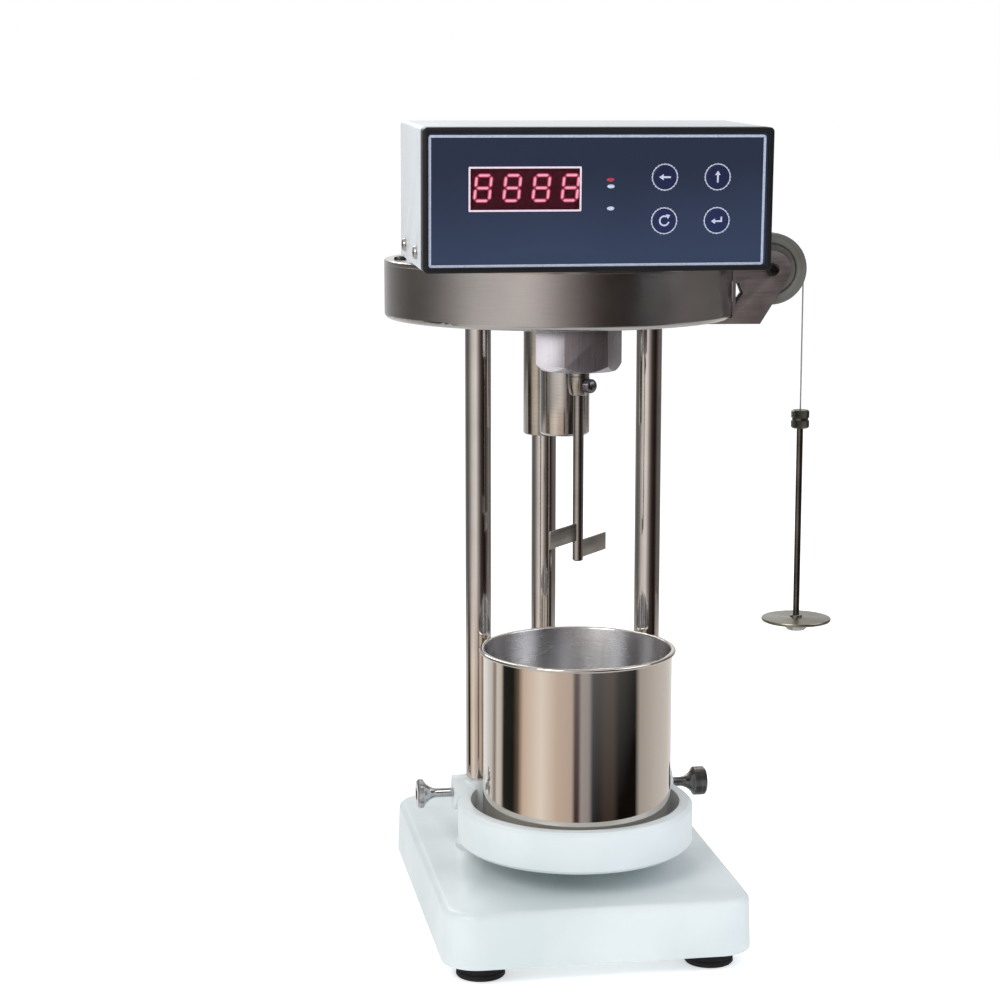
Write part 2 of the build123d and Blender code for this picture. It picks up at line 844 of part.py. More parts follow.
# Idler shaft: the pinion that the spool drives is cut on it, and it carries the rotor's gear
with BuildPart() as idler_shaft:
    with BuildSketch(Plane.XY.offset(idler_bush_bottom)):
        with Locations(idler_centre):
            Circle(idler_shaft_radius)
    extrude(amount=bridge_z + bridge_thickness - idler_bush_bottom)
    chamfer(idler_shaft.edges(), 0.3)
    with Locations((*idler_centre, head_z + upper_gear_height)):
        add(involute_gear(idler_pinion_teeth, 1.0, 90 + 180 / idler_pinion_teeth))
save(idler_shaft, "idler_shaft")

with BuildPart() as idler_gear:
    with Locations((*idler_centre, head_z + lower_gear_height)):
        add(involute_gear(idler_gear_teeth, idler_shaft_radius + fixed_clearance, -90))
save(idler_gear, "idler_gear")

# Rotor spindle with its pinion cut on it, from the chuck up to the bridge
chuck_top = head_z - hex_length - chuck_gap
spindle_neck = head_z + encoder_height + encoder_thickness + 1
with BuildPart() as spindle:
    add(
        turned(
            [
                (0, chuck_top),
                (spindle_radius, chuck_top),
                (spindle_radius, spindle_neck),
                (idler_shaft_radius, spindle_neck),
                (idler_shaft_radius, bridge_z + bridge_thickness),
                (0, bridge_z + bridge_thickness),
            ],
            Plane(origin=(*rotor_centre, 0), x_dir=(1, 0, 0), z_dir=(0, -1, 0)),
        )
    )
    with Locations((*rotor_centre, head_z + lower_gear_height)):
        add(involute_gear(rotor_pinion_teeth, 1.0, 90 + 180 / rotor_pinion_teeth))
save(spindle, "spindle")

with BuildPart() as encoder_disc:
    with BuildSketch(Plane.XY.offset(head_z + encoder_height)):
        with Locations(rotor_centre):
            Circle(encoder_radius)
            Circle(spindle_radius + fixed_clearance, mode=Mode.SUBTRACT)
            with PolarLocations(encoder_radius - 2.2, encoder_slots):
                Rectangle(*encoder_slot, mode=Mode.SUBTRACT)
    extrude(amount=encoder_thickness)
save(encoder_disc, "encoder_disc")

# Chuck with a cross hole for its thumbscrew
chuck_bottom = chuck_top - chuck_length
chuck_screw_z = chuck_bottom + chuck_screw_rise
chuck_screw_direction = Vector(*polar_point(1, math.radians(chuck_screw_angle)), 0)
chuck_screw_plane = Plane(
    origin=(*rotor_centre, chuck_screw_z), x_dir=(0, 0, 1), z_dir=chuck_screw_direction
)
with BuildPart() as chuck:
    with BuildSketch(Plane.XY.offset(chuck_bottom)):
        with Locations(rotor_centre):
            Circle(chuck_radius)
    extrude(amount=chuck_length)
    chamfer(chuck.edges(), 0.5)
    with BuildSketch(Plane.XY.offset(chuck_bottom)):
        with Locations(rotor_centre):
            Circle(paddle_shaft_radius + running_clearance)
    extrude(amount=paddle_grip + 0.5, mode=Mode.SUBTRACT)
    with BuildSketch(chuck_screw_plane):
        Circle(chuck_screw_radius + thread_clearance)
    extrude(amount=2 * chuck_radius, mode=Mode.SUBTRACT)
save(chuck, "chuck")

with BuildPart() as chuck_screw:
    with BuildSketch(chuck_screw_plane.offset(paddle_shaft_radius + running_clearance)):
        Circle(chuck_screw_radius)
    head_start = chuck_radius + chuck_screw_stand_off
    extrude(amount=head_start - paddle_shaft_radius)
    with BuildSketch(chuck_screw_plane.offset(head_start)):
        Circle(chuck_screw_head_radius)
    extrude(amount=chuck_screw_head_length)
    chamfer(chuck_screw.edges().filter_by(GeomType.CIRCLE).sort_by(SortBy.RADIUS)[-2:], 0.5)
save(chuck_screw, "chuck_screw")

# Paddle: one shaft with an upper blade to the left and a lower blade to the right
paddle_bottom = head_z - paddle_bottom_drop
paddle_top = chuck_bottom + paddle_grip
blade_turn = math.radians(blade_angle)
lower_blade = paddle_bottom + blade_lift
blade_levels = [(1, lower_blade), (-1, lower_blade + blade_height + blade_gap)]
with BuildPart() as paddle:
    with BuildSketch(Plane.XY.offset(paddle_bottom)):
        with Locations(rotor_centre):
            Circle(paddle_shaft_radius)
    extrude(amount=paddle_top - paddle_bottom)
    chamfer(paddle.edges(), shaft_edge)
    for side, level in blade_levels:
        middle = polar_point(side * blade_span / 4, blade_turn)
        with BuildSketch(Plane.XY.offset(level)):
            with Locations((rotor_centre[0] + middle[0], rotor_centre[1] + middle[1])):
                Rectangle(blade_span / 2, blade_thickness, rotation=blade_angle)
        extrude(amount=blade_height)
save(paddle, "paddle")

# Pulley with a rim groove for the cord
groove_bottom = pulley_cord_radius - cord_radius - running_clearance
half_width = pulley_width / 2
with BuildPart() as pulley:
    with BuildSketch(Plane(origin=pulley_centre, x_dir=cord_direction, z_dir=(0, 0, 1))):
        with BuildLine():
            Polyline(
                (pulley_axle_radius + running_clearance, -half_width),
                (pulley_hub_radius, -half_width),
                (pulley_hub_radius + 1, -half_width + pulley_recess),
                (groove_bottom - 2.5, -half_width + pulley_recess),
                (groove_bottom - 1.5, -half_width + pulley_lip),
                (pulley_radius, -half_width + pulley_lip),
                (pulley_radius, -groove_half),
                (groove_bottom, -groove_flat),
                (groove_bottom, groove_flat),
                (pulley_radius, groove_half),
                (pulley_radius, half_width - pulley_lip),
                (groove_bottom - 1.5, half_width - pulley_lip),
                (groove_bottom - 2.5, half_width - pulley_recess),
                (pulley_hub_radius + 1, half_width - pulley_recess),
                (pulley_hub_radius, half_width),
                (pulley_axle_radius + running_clearance, half_width),
                (pulley_axle_radius + running_clearance, -half_width),
            )
        make_face()
    revolve(axis=Axis(pulley_centre, pulley_normal))
save(pulley, "pulley")

# Pulley bracket: two cheeks rising from a foot that is screwed to the drum from inside
cheek_gap = pulley_width / 2 + bracket_side_gap
drop = -pulley_height - bracket_foot_drop
cheek_outline = [(bracket_back, drop), (bracket_toe, drop), (bracket_back, bracket_rise)]
with BuildPart() as pulley_bracket:
    with BuildSketch(pulley_plane.offset(-bracket_cheek_outside)):
        Circle(bracket_nose_radius)
        with BuildLine():
            Polyline(*cheek_outline, close=True)
        make_face()
        make_hull()
        with BuildLine():
            Polyline(*bracket_window, close=True)
        make_face(mode=Mode.SUBTRACT)
        Circle(pulley_axle_radius, mode=Mode.SUBTRACT)
    extrude(amount=2 * bracket_cheek_outside)
    with BuildSketch(pulley_plane.offset(-cheek_gap)):
        with Locations((0, drop + bracket_foot_drop)):
            Rectangle(
                4 * pulley_radius,
                pulley_height + 2 * pulley_radius,
                align=(Align.CENTER, Align.MIN),
            )
    extrude(amount=2 * cheek_gap, mode=Mode.SUBTRACT)
    with BuildSketch(Plane.XY.offset(head_z)):
        Circle(head_radius + bracket_wall_gap)
    extrude(amount=pulley_height + 2 * pulley_radius, mode=Mode.SUBTRACT)
    foot_plane = Plane(
        origin=(pulley_x, pulley_y, head_z - bracket_foot_drop),
        x_dir=cord_direction,
        z_dir=(0, 0, 1),
    )
    with BuildSketch(foot_plane):
        with Locations((sum(bracket_foot_ends) / 2, 0)):
            Rectangle(bracket_foot_ends[1] - bracket_foot_ends[0], 2 * bracket_cheek_outside)
    extrude(amount=bracket_foot_drop)
    with Locations(*[(p.X, p.Y, head_z) for p in bracket_screw_places]):
        Hole(m4_radius + running_clearance, bracket_foot_drop)
save(pulley_bracket, "pulley_bracket")

# M4 screws of the bracket and the feet
bracket_screw = cap_screw(
    m4_radius, head_floor + bracket_foot_drop - screw_end_spare, m4_head_radius, m4_head_height
)
foot_screw = cap_screw(
    m4_radius, foot_height - foot_recess + foot_screw_depth, m4_head_radius, m4_head_height
)
with BuildPart() as m4_screws:
    with Locations(*[(p.X, p.Y, head_floor_z) for p in bracket_screw_places]):
        add(bracket_screw)
    with Locations(*[(x, y, foot_recess) for x, y in foot_places]):
        add(foot_screw, rotation=(180, 0, 0))
save(m4_screws, "m4_screws")

with BuildPart() as pulley_axle:
    with BuildSketch(pulley_plane.offset(bracket_cheek_outside)):
        Circle(axle_head_radius)
    extrude(amount=axle_head)
    with BuildSketch(pulley_plane.offset(bracket_cheek_outside)):
        Circle(pulley_axle_radius - fixed_clearance)
    extrude(amount=-2 * bracket_cheek_outside - 4)
    with BuildSketch(pulley_plane.offset(-bracket_cheek_outside)):
        RegularPolygon(radius=axle_nut_radius, side_count=6)
        Circle(pulley_axle_radius, mode=Mode.SUBTRACT)
    extrude(amount=-axle_nut)
save(pulley_axle, "pulley_axle")

# Cord from the spool to the pulley and a quarter of the way round it. It starts where it has
# left the other turns by its own thickness.
coil_outer = spool_cord_radius + cord_radius
coil_inner = spool_cord_radius - cord_radius
feed_lead = math.sqrt(coil_outer**2 - coil_inner**2) + 0.2
feed_start = spool_leave + cord_direction * feed_lead
with BuildPart() as feed_cord:
    with BuildLine():
        wrap_start = pulley_centre + Vector(0, 0, pulley_cord_radius)
        wrap_middle = (
            pulley_centre
            + cord_direction * (pulley_cord_radius * math.sin(math.pi / 4))
            + Vector(0, 0, pulley_cord_radius * math.cos(math.pi / 4))
        )
        Line(feed_start, wrap_start)
        ThreePointArc(wrap_start, wrap_middle, hang_top)
    with BuildSketch(Plane(origin=feed_start, z_dir=cord_direction)):
        Circle(cord_radius)
    sweep()
save(feed_cord, "feed_cord")

# Hanging cord and the weight hanger
nut_top = hang_top.Z - hanger_cord_length
nut_bottom = nut_top - hanger_nut_height
hang_place = (hang_top.X, hang_top.Y)
with BuildPart() as hanging_cord:
    with BuildSketch(Plane.XY.offset(nut_top)):
        with Locations(hang_place):
            Circle(cord_radius)
    extrude(amount=hanger_cord_length)
save(hanging_cord, "hanging_cord")

with BuildPart() as hanger_nut:
    with BuildSketch(Plane.XY.offset(nut_bottom)):
        with Locations(hang_place):
            Circle(hanger_nut_radius)
    extrude(amount=hanger_nut_height)
    chamfer(hanger_nut.edges(), 0.6)
    with BuildSketch(Plane.XY.offset(nut_bottom)):
        with Locations(hang_place):
            Circle(hanger_rod_radius + fixed_clearance)
    extrude(amount=hanger_rod_grip, mode=Mode.SUBTRACT)
save(hanger_nut, "hanger_nut")

rod_bottom = nut_bottom - hanger_rod_length
with BuildPart() as hanger_rod:
    with BuildSketch(Plane.XY.offset(rod_bottom)):
        with Locations(hang_place):
            Circle(hanger_rod_radius)
    extrude(amount=hanger_rod_length + hanger_rod_grip)
save(hanger_rod, "hanger_rod")

disc_base = rod_bottom - 1.0
disc_top = disc_base + hanger_disc_thickness
hanger_disc_outline = [
    (0, disc_base - hanger_boss_height),
    (hanger_boss_radius - 2, disc_base - hanger_boss_height),
    (hanger_boss_radius, disc_base - 1),
    (hanger_boss_radius, disc_base),
    (hanger_disc_radius - 0.5, disc_base),
    (hanger_disc_radius, disc_base + 0.5),
    (hanger_disc_radius, disc_top - 0.4),
    (hanger_disc_radius - 0.4, disc_top),
    (hanger_collar[0] + 0.4, disc_top),
    (hanger_collar[0], disc_top + hanger_collar[1]),
    (hanger_rod_radius + fixed_clearance, disc_top + hanger_collar[1]),
    (hanger_rod_radius + fixed_clearance, rod_bottom),
    (0, rod_bottom),
]
with BuildPart() as hanger_disc:
    add(
        turned(
            hanger_disc_outline,
            Plane(origin=(*hang_place, 0), x_dir=(1, 0, 0), z_dir=(0, -1, 0)),
        )
    )
save(hanger_disc, "hanger_disc")

# Platform: a shallow ring tray that slides on the two front columns, a little behind the rotor
platform_bottom = platform_top - platform_height
platform_floor_z = platform_bottom + platform_floor
lug_places = column_places[:2]
with BuildPart() as platform_ring:
    with BuildSketch(Plane.XY.offset(platform_bottom)):
        with Locations(platform_centre):
            Circle(platform_radius)
    extrude(amount=platform_height)
    rims = platform_ring.edges().filter_by(GeomType.CIRCLE)
    chamfer(rims, platform_edge)
    with BuildSketch(Plane.XY.offset(platform_bottom)):
        with Locations(*lug_places):
            Circle(lug_radius)
    extrude(amount=platform_height + lug_rise)
    for side in (-1, 1):
        boss_plane = Plane(
            origin=(side * front_column_x, front_column_y, clamp_height),
            x_dir=(0, 1, 0),
            z_dir=(side, 0, 0),
        )
        with BuildSketch(boss_plane):
            Circle(clamp_boss_radius)
        extrude(amount=clamp_boss_reach - front_column_x)
    with BuildSketch(Plane.XY.offset(platform_floor_z)):
        with Locations(platform_centre):
            Circle(platform_radius - platform_wall)
        with Locations(*lug_places):
            Circle(lug_radius, mode=Mode.SUBTRACT)
    extrude(amount=40, mode=Mode.SUBTRACT)
    with Locations(*[(x, y, platform_top + lug_rise) for x, y in lug_places]):
        Hole(column_radius + running_clearance)
    for side in (-1, 1):
        screw_plane = Plane(
            origin=(side * front_column_x, front_column_y, clamp_height),
            x_dir=(0, 1, 0),
            z_dir=(side, 0, 0),
        )
        with BuildSketch(screw_plane):
            Circle(clamp_stem_radius + thread_clearance)
        extrude(amount=clamp_boss_reach, mode=Mode.SUBTRACT)
save(platform_ring, "platform_ring")

# Clamp thumbscrews, one through each lug against its column
for side, screw_name in ((-1, "left_clamp_screw"), (1, "right_clamp_screw")):
    clamp_plane = Plane(
        origin=(0, front_column_y, clamp_height), x_dir=(0, 0, -side), z_dir=(0, 1, 0)
    )
    stem_start = front_column_x + column_radius + running_clearance
    with BuildPart() as clamp_screw:
        with BuildSketch(clamp_plane):
            with BuildLine():
                Polyline(
                    (0, stem_start),
                    (clamp_stem_radius, stem_start),
                    (clamp_stem_radius, clamp_stem_reach),
                    (clamp_head_radius - 1.6, clamp_cone_reach),
                    (clamp_head_radius, clamp_cone_reach),
                    (clamp_head_radius, clamp_head_reach - 0.8),
                    (clamp_head_radius - 1.0, clamp_head_reach),
                    (0, clamp_head_reach),
                    close=True,
                )
            make_face()
        revolve(axis=Axis((0, front_column_y, clamp_height), clamp_plane.y_dir))
    save(clamp_screw, screw_name)

# Sample cup of thin steel with a turned-out brim
cup_outer = cup_inner_radius + cup_wall
cup_top = platform_floor_z + cup_height
with BuildPart() as sample_cup:
    with BuildSketch(Plane(origin=(*rotor_centre, 0), x_dir=(1, 0, 0), z_dir=(0, -1, 0))):
        with BuildLine():
            floor_line = Polyline(
                (0, platform_floor_z + cup_wall),
                (0, platform_floor_z),
                (cup_outer - cup_corner, platform_floor_z),
            )
            RadiusArc(
                floor_line @ 1,
                (cup_outer, platform_floor_z + cup_corner),
                -cup_corner,
            )
            Polyline(
                (cup_outer, platform_floor_z + cup_corner),
                (cup_outer, cup_top - cup_brim),
                (cup_brim_radius, cup_top - 1.6),
                (cup_brim_radius, cup_top - 0.5),
                (cup_brim_radius - 0.5, cup_top),
                (cup_inner_radius + 0.5, cup_top),
                (cup_inner_radius, cup_top - 0.6),
                (cup_inner_radius, platform_floor_z + cup_corner),
            )
            RadiusArc(
                (cup_inner_radius, platform_floor_z + cup_corner),
                (cup_inner_radius - cup_corner + cup_wall, platform_floor_z + cup_wall),
                cup_corner - cup_wall,
            )
            Line(
                (cup_inner_radius - cup_corner + cup_wall, platform_floor_z + cup_wall),
                (0, platform_floor_z + cup_wall),
            )
        make_face()
    revolve(axis=Axis((*rotor_centre, 0), (0, 0, 1)))
save(sample_cup, "sample_cup")

# Control box: everything is drawn on the front face, which leans forward with the box
lean = math.radians(box_lean)
face_plane = Plane(
    origin=(0, box_front_y, head_z + box_lift),
    x_dir=(1, 0, 0),
    z_dir=(0, -math.cos(lean), -math.sin(lean)),
)
rear_plane = Plane(
    origin=face_plane.from_local_coords((0, 0, -box_depth)),
    x_dir=(-1, 0, 0),
    z_dir=(0, math.cos(lean), math.sin(lean)),
)
box_centre = (0, box_height / 2)
key_places = [(x, h) for h in key_rows for x in key_columns]
panel_back = panel_setback + panel_thickness

with BuildPart() as front_bezel:
    with BuildSketch(face_plane):
        with Locations(box_centre):
            RectangleRounded(box_width, box_height, box_corner)
            Rectangle(
                box_width - 2 * bezel_frame, box_height - 2 * bezel_frame, mode=Mode.SUBTRACT
            )
    extrude(amount=-panel_back)
    with BuildSketch(face_plane.offset(-panel_back)):
        with Locations(box_centre):
            RectangleRounded(box_width, box_height, box_corner)
            Rectangle(
                box_width - 2 * (bezel_frame + bezel_ledge),
                box_height - 2 * (bezel_frame + bezel_ledge),
                mode=Mode.SUBTRACT,
            )
    extrude(amount=-(bezel_depth - panel_back))
save(front_bezel, "front_bezel")

with BuildPart() as front_panel:
    with BuildSketch(face_plane.offset(-panel_setback)):
        with Locations(box_centre):
            Rectangle(
                box_width - 2 * bezel_frame - 2 * panel_clearance,
                box_height - 2 * bezel_frame - 2 * panel_clearance,
            )
        with Locations((window_x, window_height)):
            Rectangle(window_width, window_rise, mode=Mode.SUBTRACT)
        with Locations(*key_places):
            Circle(key_radius + key_clearance, mode=Mode.SUBTRACT)
    extrude(amount=-panel_thickness)
save(front_panel, "front_panel")

with BuildPart() as display_window:
    with BuildSketch(face_plane.offset(-panel_setback - panel_thickness + window_thickness)):
        with Locations((window_x, window_height)):
            Rectangle(window_width - 2 * panel_clearance, window_rise - 2 * panel_clearance)
    extrude(amount=-window_thickness)
save(display_window, "display_window")

with BuildPart() as display_module:
    with BuildSketch(face_plane.offset(-panel_back)):
        with Locations((window_x, window_height)):
            Rectangle(window_width + 3, window_rise + 2)
    extrude(amount=-(display_board_depth - panel_back))
save(display_module, "display_module")

board_places = [
    (x, h)
    for x in (board_post_side - box_width / 2, box_width / 2 - board_post_side)
    for h in (board_post_inset, box_height - board_post_inset)
]
with BuildPart() as display_board:
    with BuildSketch(face_plane.offset(-display_board_depth)):
        with Locations(box_centre):
            Rectangle(
                box_width - 2 * display_board_border,
                box_height - 2 * (bezel_frame + bezel_ledge) - 1,
            )
    extrude(amount=-board_thickness)
    with BuildSketch(face_plane.offset(-display_board_depth)):
        with Locations(*key_places):
            RectangleRounded(switch_size, switch_size, 0.6)
    extrude(amount=switch_depth)
save(display_board, "display_board")

key_names = ["key_reset", "key_enter", "key_left", "key_up"]
key_front = panel_setback - 0.3
key_stem_end = display_board_depth - switch_depth - key_travel - 0.1
for key_name, key_place in zip(key_names, key_places):
    with BuildPart() as key:
        with BuildSketch(face_plane.offset(-key_front)):
            with Locations(key_place):
                Circle(key_radius)
        extrude(amount=-(panel_back - key_front + 0.3))
        chamfer(key.edges().sort_by(Axis.Y)[0], 0.3)
        with BuildSketch(face_plane.offset(-panel_back - 0.2)):
            with Locations(key_place):
                Circle(key_flange_radius)
        extrude(amount=-1.0)
        with BuildSketch(face_plane.offset(-panel_back - 1.0)):
            with Locations(key_place):
                Circle(key_stem_radius)
        extrude(amount=-(key_stem_end - panel_back - 1.0))
    save(key, key_name)

# Folded cover: roof and two sides, open below and at both ends
with BuildPart() as box_cover:
    with BuildSketch(face_plane.offset(-bezel_depth)):
        with Locations(box_centre):
            RectangleRounded(box_width, box_height, box_corner)
        with Locations((0, (box_height - box_sheet) / 2)):
            Rectangle(box_width - 2 * box_sheet, box_height - box_sheet, mode=Mode.SUBTRACT)
    extrude(amount=-(box_depth - bezel_depth - box_sheet))
    for side in (-1, 1):
        side_plane = Plane(
            origin=face_plane.from_local_coords((side * box_width / 2, 0, 0)),
            x_dir=-face_plane.z_dir,
            z_dir=(side, 0, 0),
        )
        with BuildSketch(side_plane):
            with Locations(*[(d, side * box_side_screw_height) for d in box_side_screw_depths]):
                Circle(m3_radius + screw_hole_clearance)
        extrude(amount=-box_sheet, mode=Mode.SUBTRACT)
save(box_cover, "box_cover")

# Tray: floor with two side flanges and the rear panel, with its cut-outs
tray_width = box_width - 2 * box_sheet - 2 * panel_clearance
rear_row = box_height - rear_row_drop
inlet_x = box_width / 2 - inlet_side
switch_x = inlet_x - switch_pitch
with BuildPart() as box_tray:
    with BuildSketch(face_plane.offset(-bezel_depth)):
        with Locations((0, tray_flange / 2)):
            Rectangle(tray_width, tray_flange)
        with Locations((0, tray_flange / 2 + box_sheet)):
            Rectangle(tray_width - 2 * box_sheet, tray_flange, mode=Mode.SUBTRACT)
    extrude(amount=-(box_depth - bezel_depth))
    with BuildSketch(rear_plane):
        with Locations(box_centre):
            RectangleRounded(box_width, box_height, box_corner)
        with Locations((inlet_x, rear_row)):
            Rectangle(*inlet_size, mode=Mode.SUBTRACT)
        with Locations((switch_x, rear_row)):
            Rectangle(*switch_hole, mode=Mode.SUBTRACT)
    extrude(amount=-box_sheet)
    for side in (-1, 1):
        tray_side = Plane(
            origin=face_plane.from_local_coords((side * tray_width / 2, 0, 0)),
            x_dir=-face_plane.z_dir,
            z_dir=(side, 0, 0),
        )
        with BuildSketch(tray_side):
            with Locations(*[(d, side * box_side_screw_height) for d in box_side_screw_depths]):
                Circle(m3_radius + screw_hole_clearance)
        extrude(amount=-box_sheet, mode=Mode.SUBTRACT)
    with BuildSketch(Plane.XY.offset(lid_top_z)):
        with Locations(cable_hole):
            Circle(cable_hole_radius)
    extrude(amount=10, mode=Mode.SUBTRACT)
save(box_tray, "box_tray")

side_screw = pan_screw(m3_radius, side_screw_length, m3_head_radius, m3_head_height)
with BuildPart() as box_side_screws:
    for side in (-1, 1):
        for depth in box_side_screw_depths:
            seat = face_plane.from_local_coords(
                (side * box_width / 2, box_side_screw_height, -depth)
            )
            with Locations(seat):
                add(side_screw, rotation=(0, side * 90, 0))
save(box_side_screws, "box_side_screws")

# Spacers between the drum and the leaning box, cut to the box's floor
spacer_places = [(x, y) for x in (-spacer_x, spacer_x) for y in spacer_rows]
floor_plane = Plane(
    origin=face_plane.origin, x_dir=(1, 0, 0), z_dir=(0, -math.sin(lean), math.cos(lean))
)
with BuildPart() as box_spacers:
    with BuildSketch(Plane.XY.offset(lid_top_z)):
        with Locations(*spacer_places):
            Circle(spacer_radius)
    extrude(amount=10)
    split(bisect_by=floor_plane, keep=Keep.BOTTOM)
save(box_spacers, "box_spacers")

# Main board with its transformer, standing on the tray
tray_plane = floor_plane.offset(box_sheet)
standoff_x = main_board_size[0] / 2 - standoff_inset
standoff_y = main_board_size[1] / 2 - standoff_inset
standoff_places = [
    (main_board_middle[0] + x, main_board_middle[1] + y)
    for x in (-standoff_x, standoff_x)
    for y in (-standoff_y, standoff_y)
]
with BuildPart() as board_posts:
    with BuildSketch(tray_plane):
        with Locations(*standoff_places):
            Circle(standoff_radius)
    extrude(amount=standoff_height)
    with BuildSketch(face_plane.offset(-panel_back)):
        with Locations(*board_places):
            Circle(board_post_radius)
    extrude(amount=-(display_board_depth - panel_back))
save(board_posts, "board_posts")

with BuildPart() as main_board:
    with BuildSketch(tray_plane.offset(standoff_height)):
        with Locations(main_board_middle):
            Rectangle(*main_board_size)
    extrude(amount=board_thickness)
    with BuildSketch(tray_plane.offset(standoff_height + board_thickness)):
        with Locations(transformer_middle):
            RectangleRounded(*transformer_size, 2)
    extrude(amount=transformer_height)
save(main_board, "main_board")

# Mains inlet with three blades in its well and a fuse drawer above it
with BuildPart() as power_inlet:
    with BuildSketch(rear_plane):
        with Locations((inlet_x, rear_row)):
            RectangleRounded(
                inlet_size[0] + 2 * inlet_border, inlet_size[1] + 2 * inlet_border, 2
            )
    extrude(amount=rear_flange)
    with BuildSketch(rear_plane):
        with Locations((inlet_x, rear_row)):
            Rectangle(inlet_size[0] - 2 * hole_clearance, inlet_size[1] - 2 * hole_clearance)
    extrude(amount=-inlet_depth)
    with BuildSketch(rear_plane.offset(rear_flange)):
        with Locations((inlet_x, rear_row - inlet_mouth_drop)):
            RectangleRounded(*inlet_mouth, 3)
    extrude(amount=-(rear_flange + inlet_mouth_depth), mode=Mode.SUBTRACT)
    with BuildSketch(rear_plane.offset(rear_flange)):
        with Locations((inlet_x, rear_row + fuse_drawer_rise)):
            Rectangle(*fuse_drawer)
            Rectangle(
                fuse_drawer[0] - 2 * fuse_drawer_groove,
                fuse_drawer[1] - 2 * fuse_drawer_groove,
                mode=Mode.SUBTRACT,
            )
    extrude(amount=-1.0, mode=Mode.SUBTRACT)
    blade_row = rear_row - inlet_mouth_drop - 2
    with BuildSketch(rear_plane.offset(-inlet_mouth_depth)):
        with Locations(
            (inlet_x - inlet_blade_pitch, blade_row),
            (inlet_x, blade_row + earth_blade_rise),
            (inlet_x + inlet_blade_pitch, blade_row),
        ):
            Rectangle(*inlet_blade)
    extrude(amount=inlet_blade_length)
save(power_inlet, "power_inlet")

# Rocker switch: a framed well, and the rocker on its pin
with BuildPart() as switch_well:
    with BuildSketch(rear_plane):
        with Locations((switch_x, rear_row)):
            RectangleRounded(
                switch_hole[0] + 2 * switch_border, switch_hole[1] + 2 * switch_border, 1.5
            )
    extrude(amount=rear_flange)
    with BuildSketch(rear_plane):
        with Locations((switch_x, rear_row)):
            Rectangle(switch_hole[0] - 2 * hole_clearance, switch_hole[1] - 2 * hole_clearance)
    extrude(amount=-switch_body_depth)
    with BuildSketch(rear_plane.offset(rear_flange)):
        with Locations((switch_x, rear_row)):
            Rectangle(rocker_length + 2 * rocker_gap[0], rocker_width + 2 * rocker_gap[1])
    extrude(amount=-(rear_flange + switch_well_depth), mode=Mode.SUBTRACT)
save(switch_well, "switch_well")

# The rocker's profile lies level, and its pin runs up the panel
rocker_origin = rear_plane.from_local_coords((switch_x, rear_row, 0))
tilt = math.radians(rocker_tilt)
rocker_axis = rear_plane.y_dir
rocker_x = rear_plane.x_dir * math.cos(tilt) + rear_plane.z_dir * math.sin(tilt)
rocker_plane = Plane(origin=rocker_origin, x_dir=rocker_x, z_dir=rocker_axis)
rocker_half = rocker_length / 2
with BuildPart() as power_rocker:
    with BuildSketch(rocker_plane.offset(-rocker_width / 2)):
        with BuildLine():
            Polyline(
                (-rocker_half, rocker_crest),
                (0, rocker_dip),
                (rocker_half, rocker_crest),
                (rocker_half, -rocker_side),
                (2, -rocker_keel),
                (-2, -rocker_keel),
                (-rocker_half, -rocker_side),
                close=True,
            )
        make_face()
    extrude(amount=rocker_width)
save(power_rocker, "power_rocker")
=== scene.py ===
"""Looks of a bench viscometer whose paddle is turned by a cord and a falling weight."""

import logging
import math
from collections.abc import Callable, Iterable, Sequence
from dataclasses import dataclass, field
from enum import Enum

import bmesh
import bpy
from mathutils import Matrix, Vector


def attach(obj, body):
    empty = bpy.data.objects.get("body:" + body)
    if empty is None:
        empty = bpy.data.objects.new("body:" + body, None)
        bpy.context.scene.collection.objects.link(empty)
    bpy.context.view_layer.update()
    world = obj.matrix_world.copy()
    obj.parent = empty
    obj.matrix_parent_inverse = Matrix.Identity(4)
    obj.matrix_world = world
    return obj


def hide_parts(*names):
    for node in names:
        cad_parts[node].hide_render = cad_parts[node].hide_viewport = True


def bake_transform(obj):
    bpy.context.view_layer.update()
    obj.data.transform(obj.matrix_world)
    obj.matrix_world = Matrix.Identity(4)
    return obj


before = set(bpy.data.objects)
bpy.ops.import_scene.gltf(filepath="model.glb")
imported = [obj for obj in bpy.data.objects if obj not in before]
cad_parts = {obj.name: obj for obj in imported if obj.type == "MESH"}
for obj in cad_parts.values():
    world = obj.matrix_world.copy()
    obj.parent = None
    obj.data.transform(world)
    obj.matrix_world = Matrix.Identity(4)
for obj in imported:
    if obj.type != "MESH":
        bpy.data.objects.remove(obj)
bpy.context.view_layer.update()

MM = 0.001
log = logging.getLogger("viscometer")

Point = tuple[float, float, float]
Outline = Sequence[tuple[float, float]]


# Levels and centres that the sub-assemblies share, in millimetres as in the part's source

HEAD_Z = 283.0
HEAD_FLOOR = 287.0
LID_TOP = 310.2
COLUMNS = ((-40.3, -16.3), (40.3, -16.3), (0.0, 34.9))
IDLER = (0.0, -18.2)
SPOOL = (0.0, 13.8)
ROTOR = (0.0, -51.2)
SPOOL_CORD_RADIUS = 18.4
PULLEY_CORD_RADIUS = 15.6
PULLEY = Vector((97.8, -16.0, 305.3))
CLAMPS = (0.0, -16.3, 59.7)
CORD_LEVEL = PULLEY.z + PULLEY_CORD_RADIUS


def cord_heading() -> Vector:
    """Direction of the level cord, tangent to the spool and over the pulley.

    Returns:
        A level unit vector from the spool to the pulley.
    """
    across = Vector((PULLEY.x - SPOOL[0], PULLEY.y - SPOOL[1]))
    bearing = math.atan2(across.y, across.x) + math.asin(SPOOL_CORD_RADIUS / across.length)
    return Vector((math.cos(bearing), math.sin(bearing), 0.0))


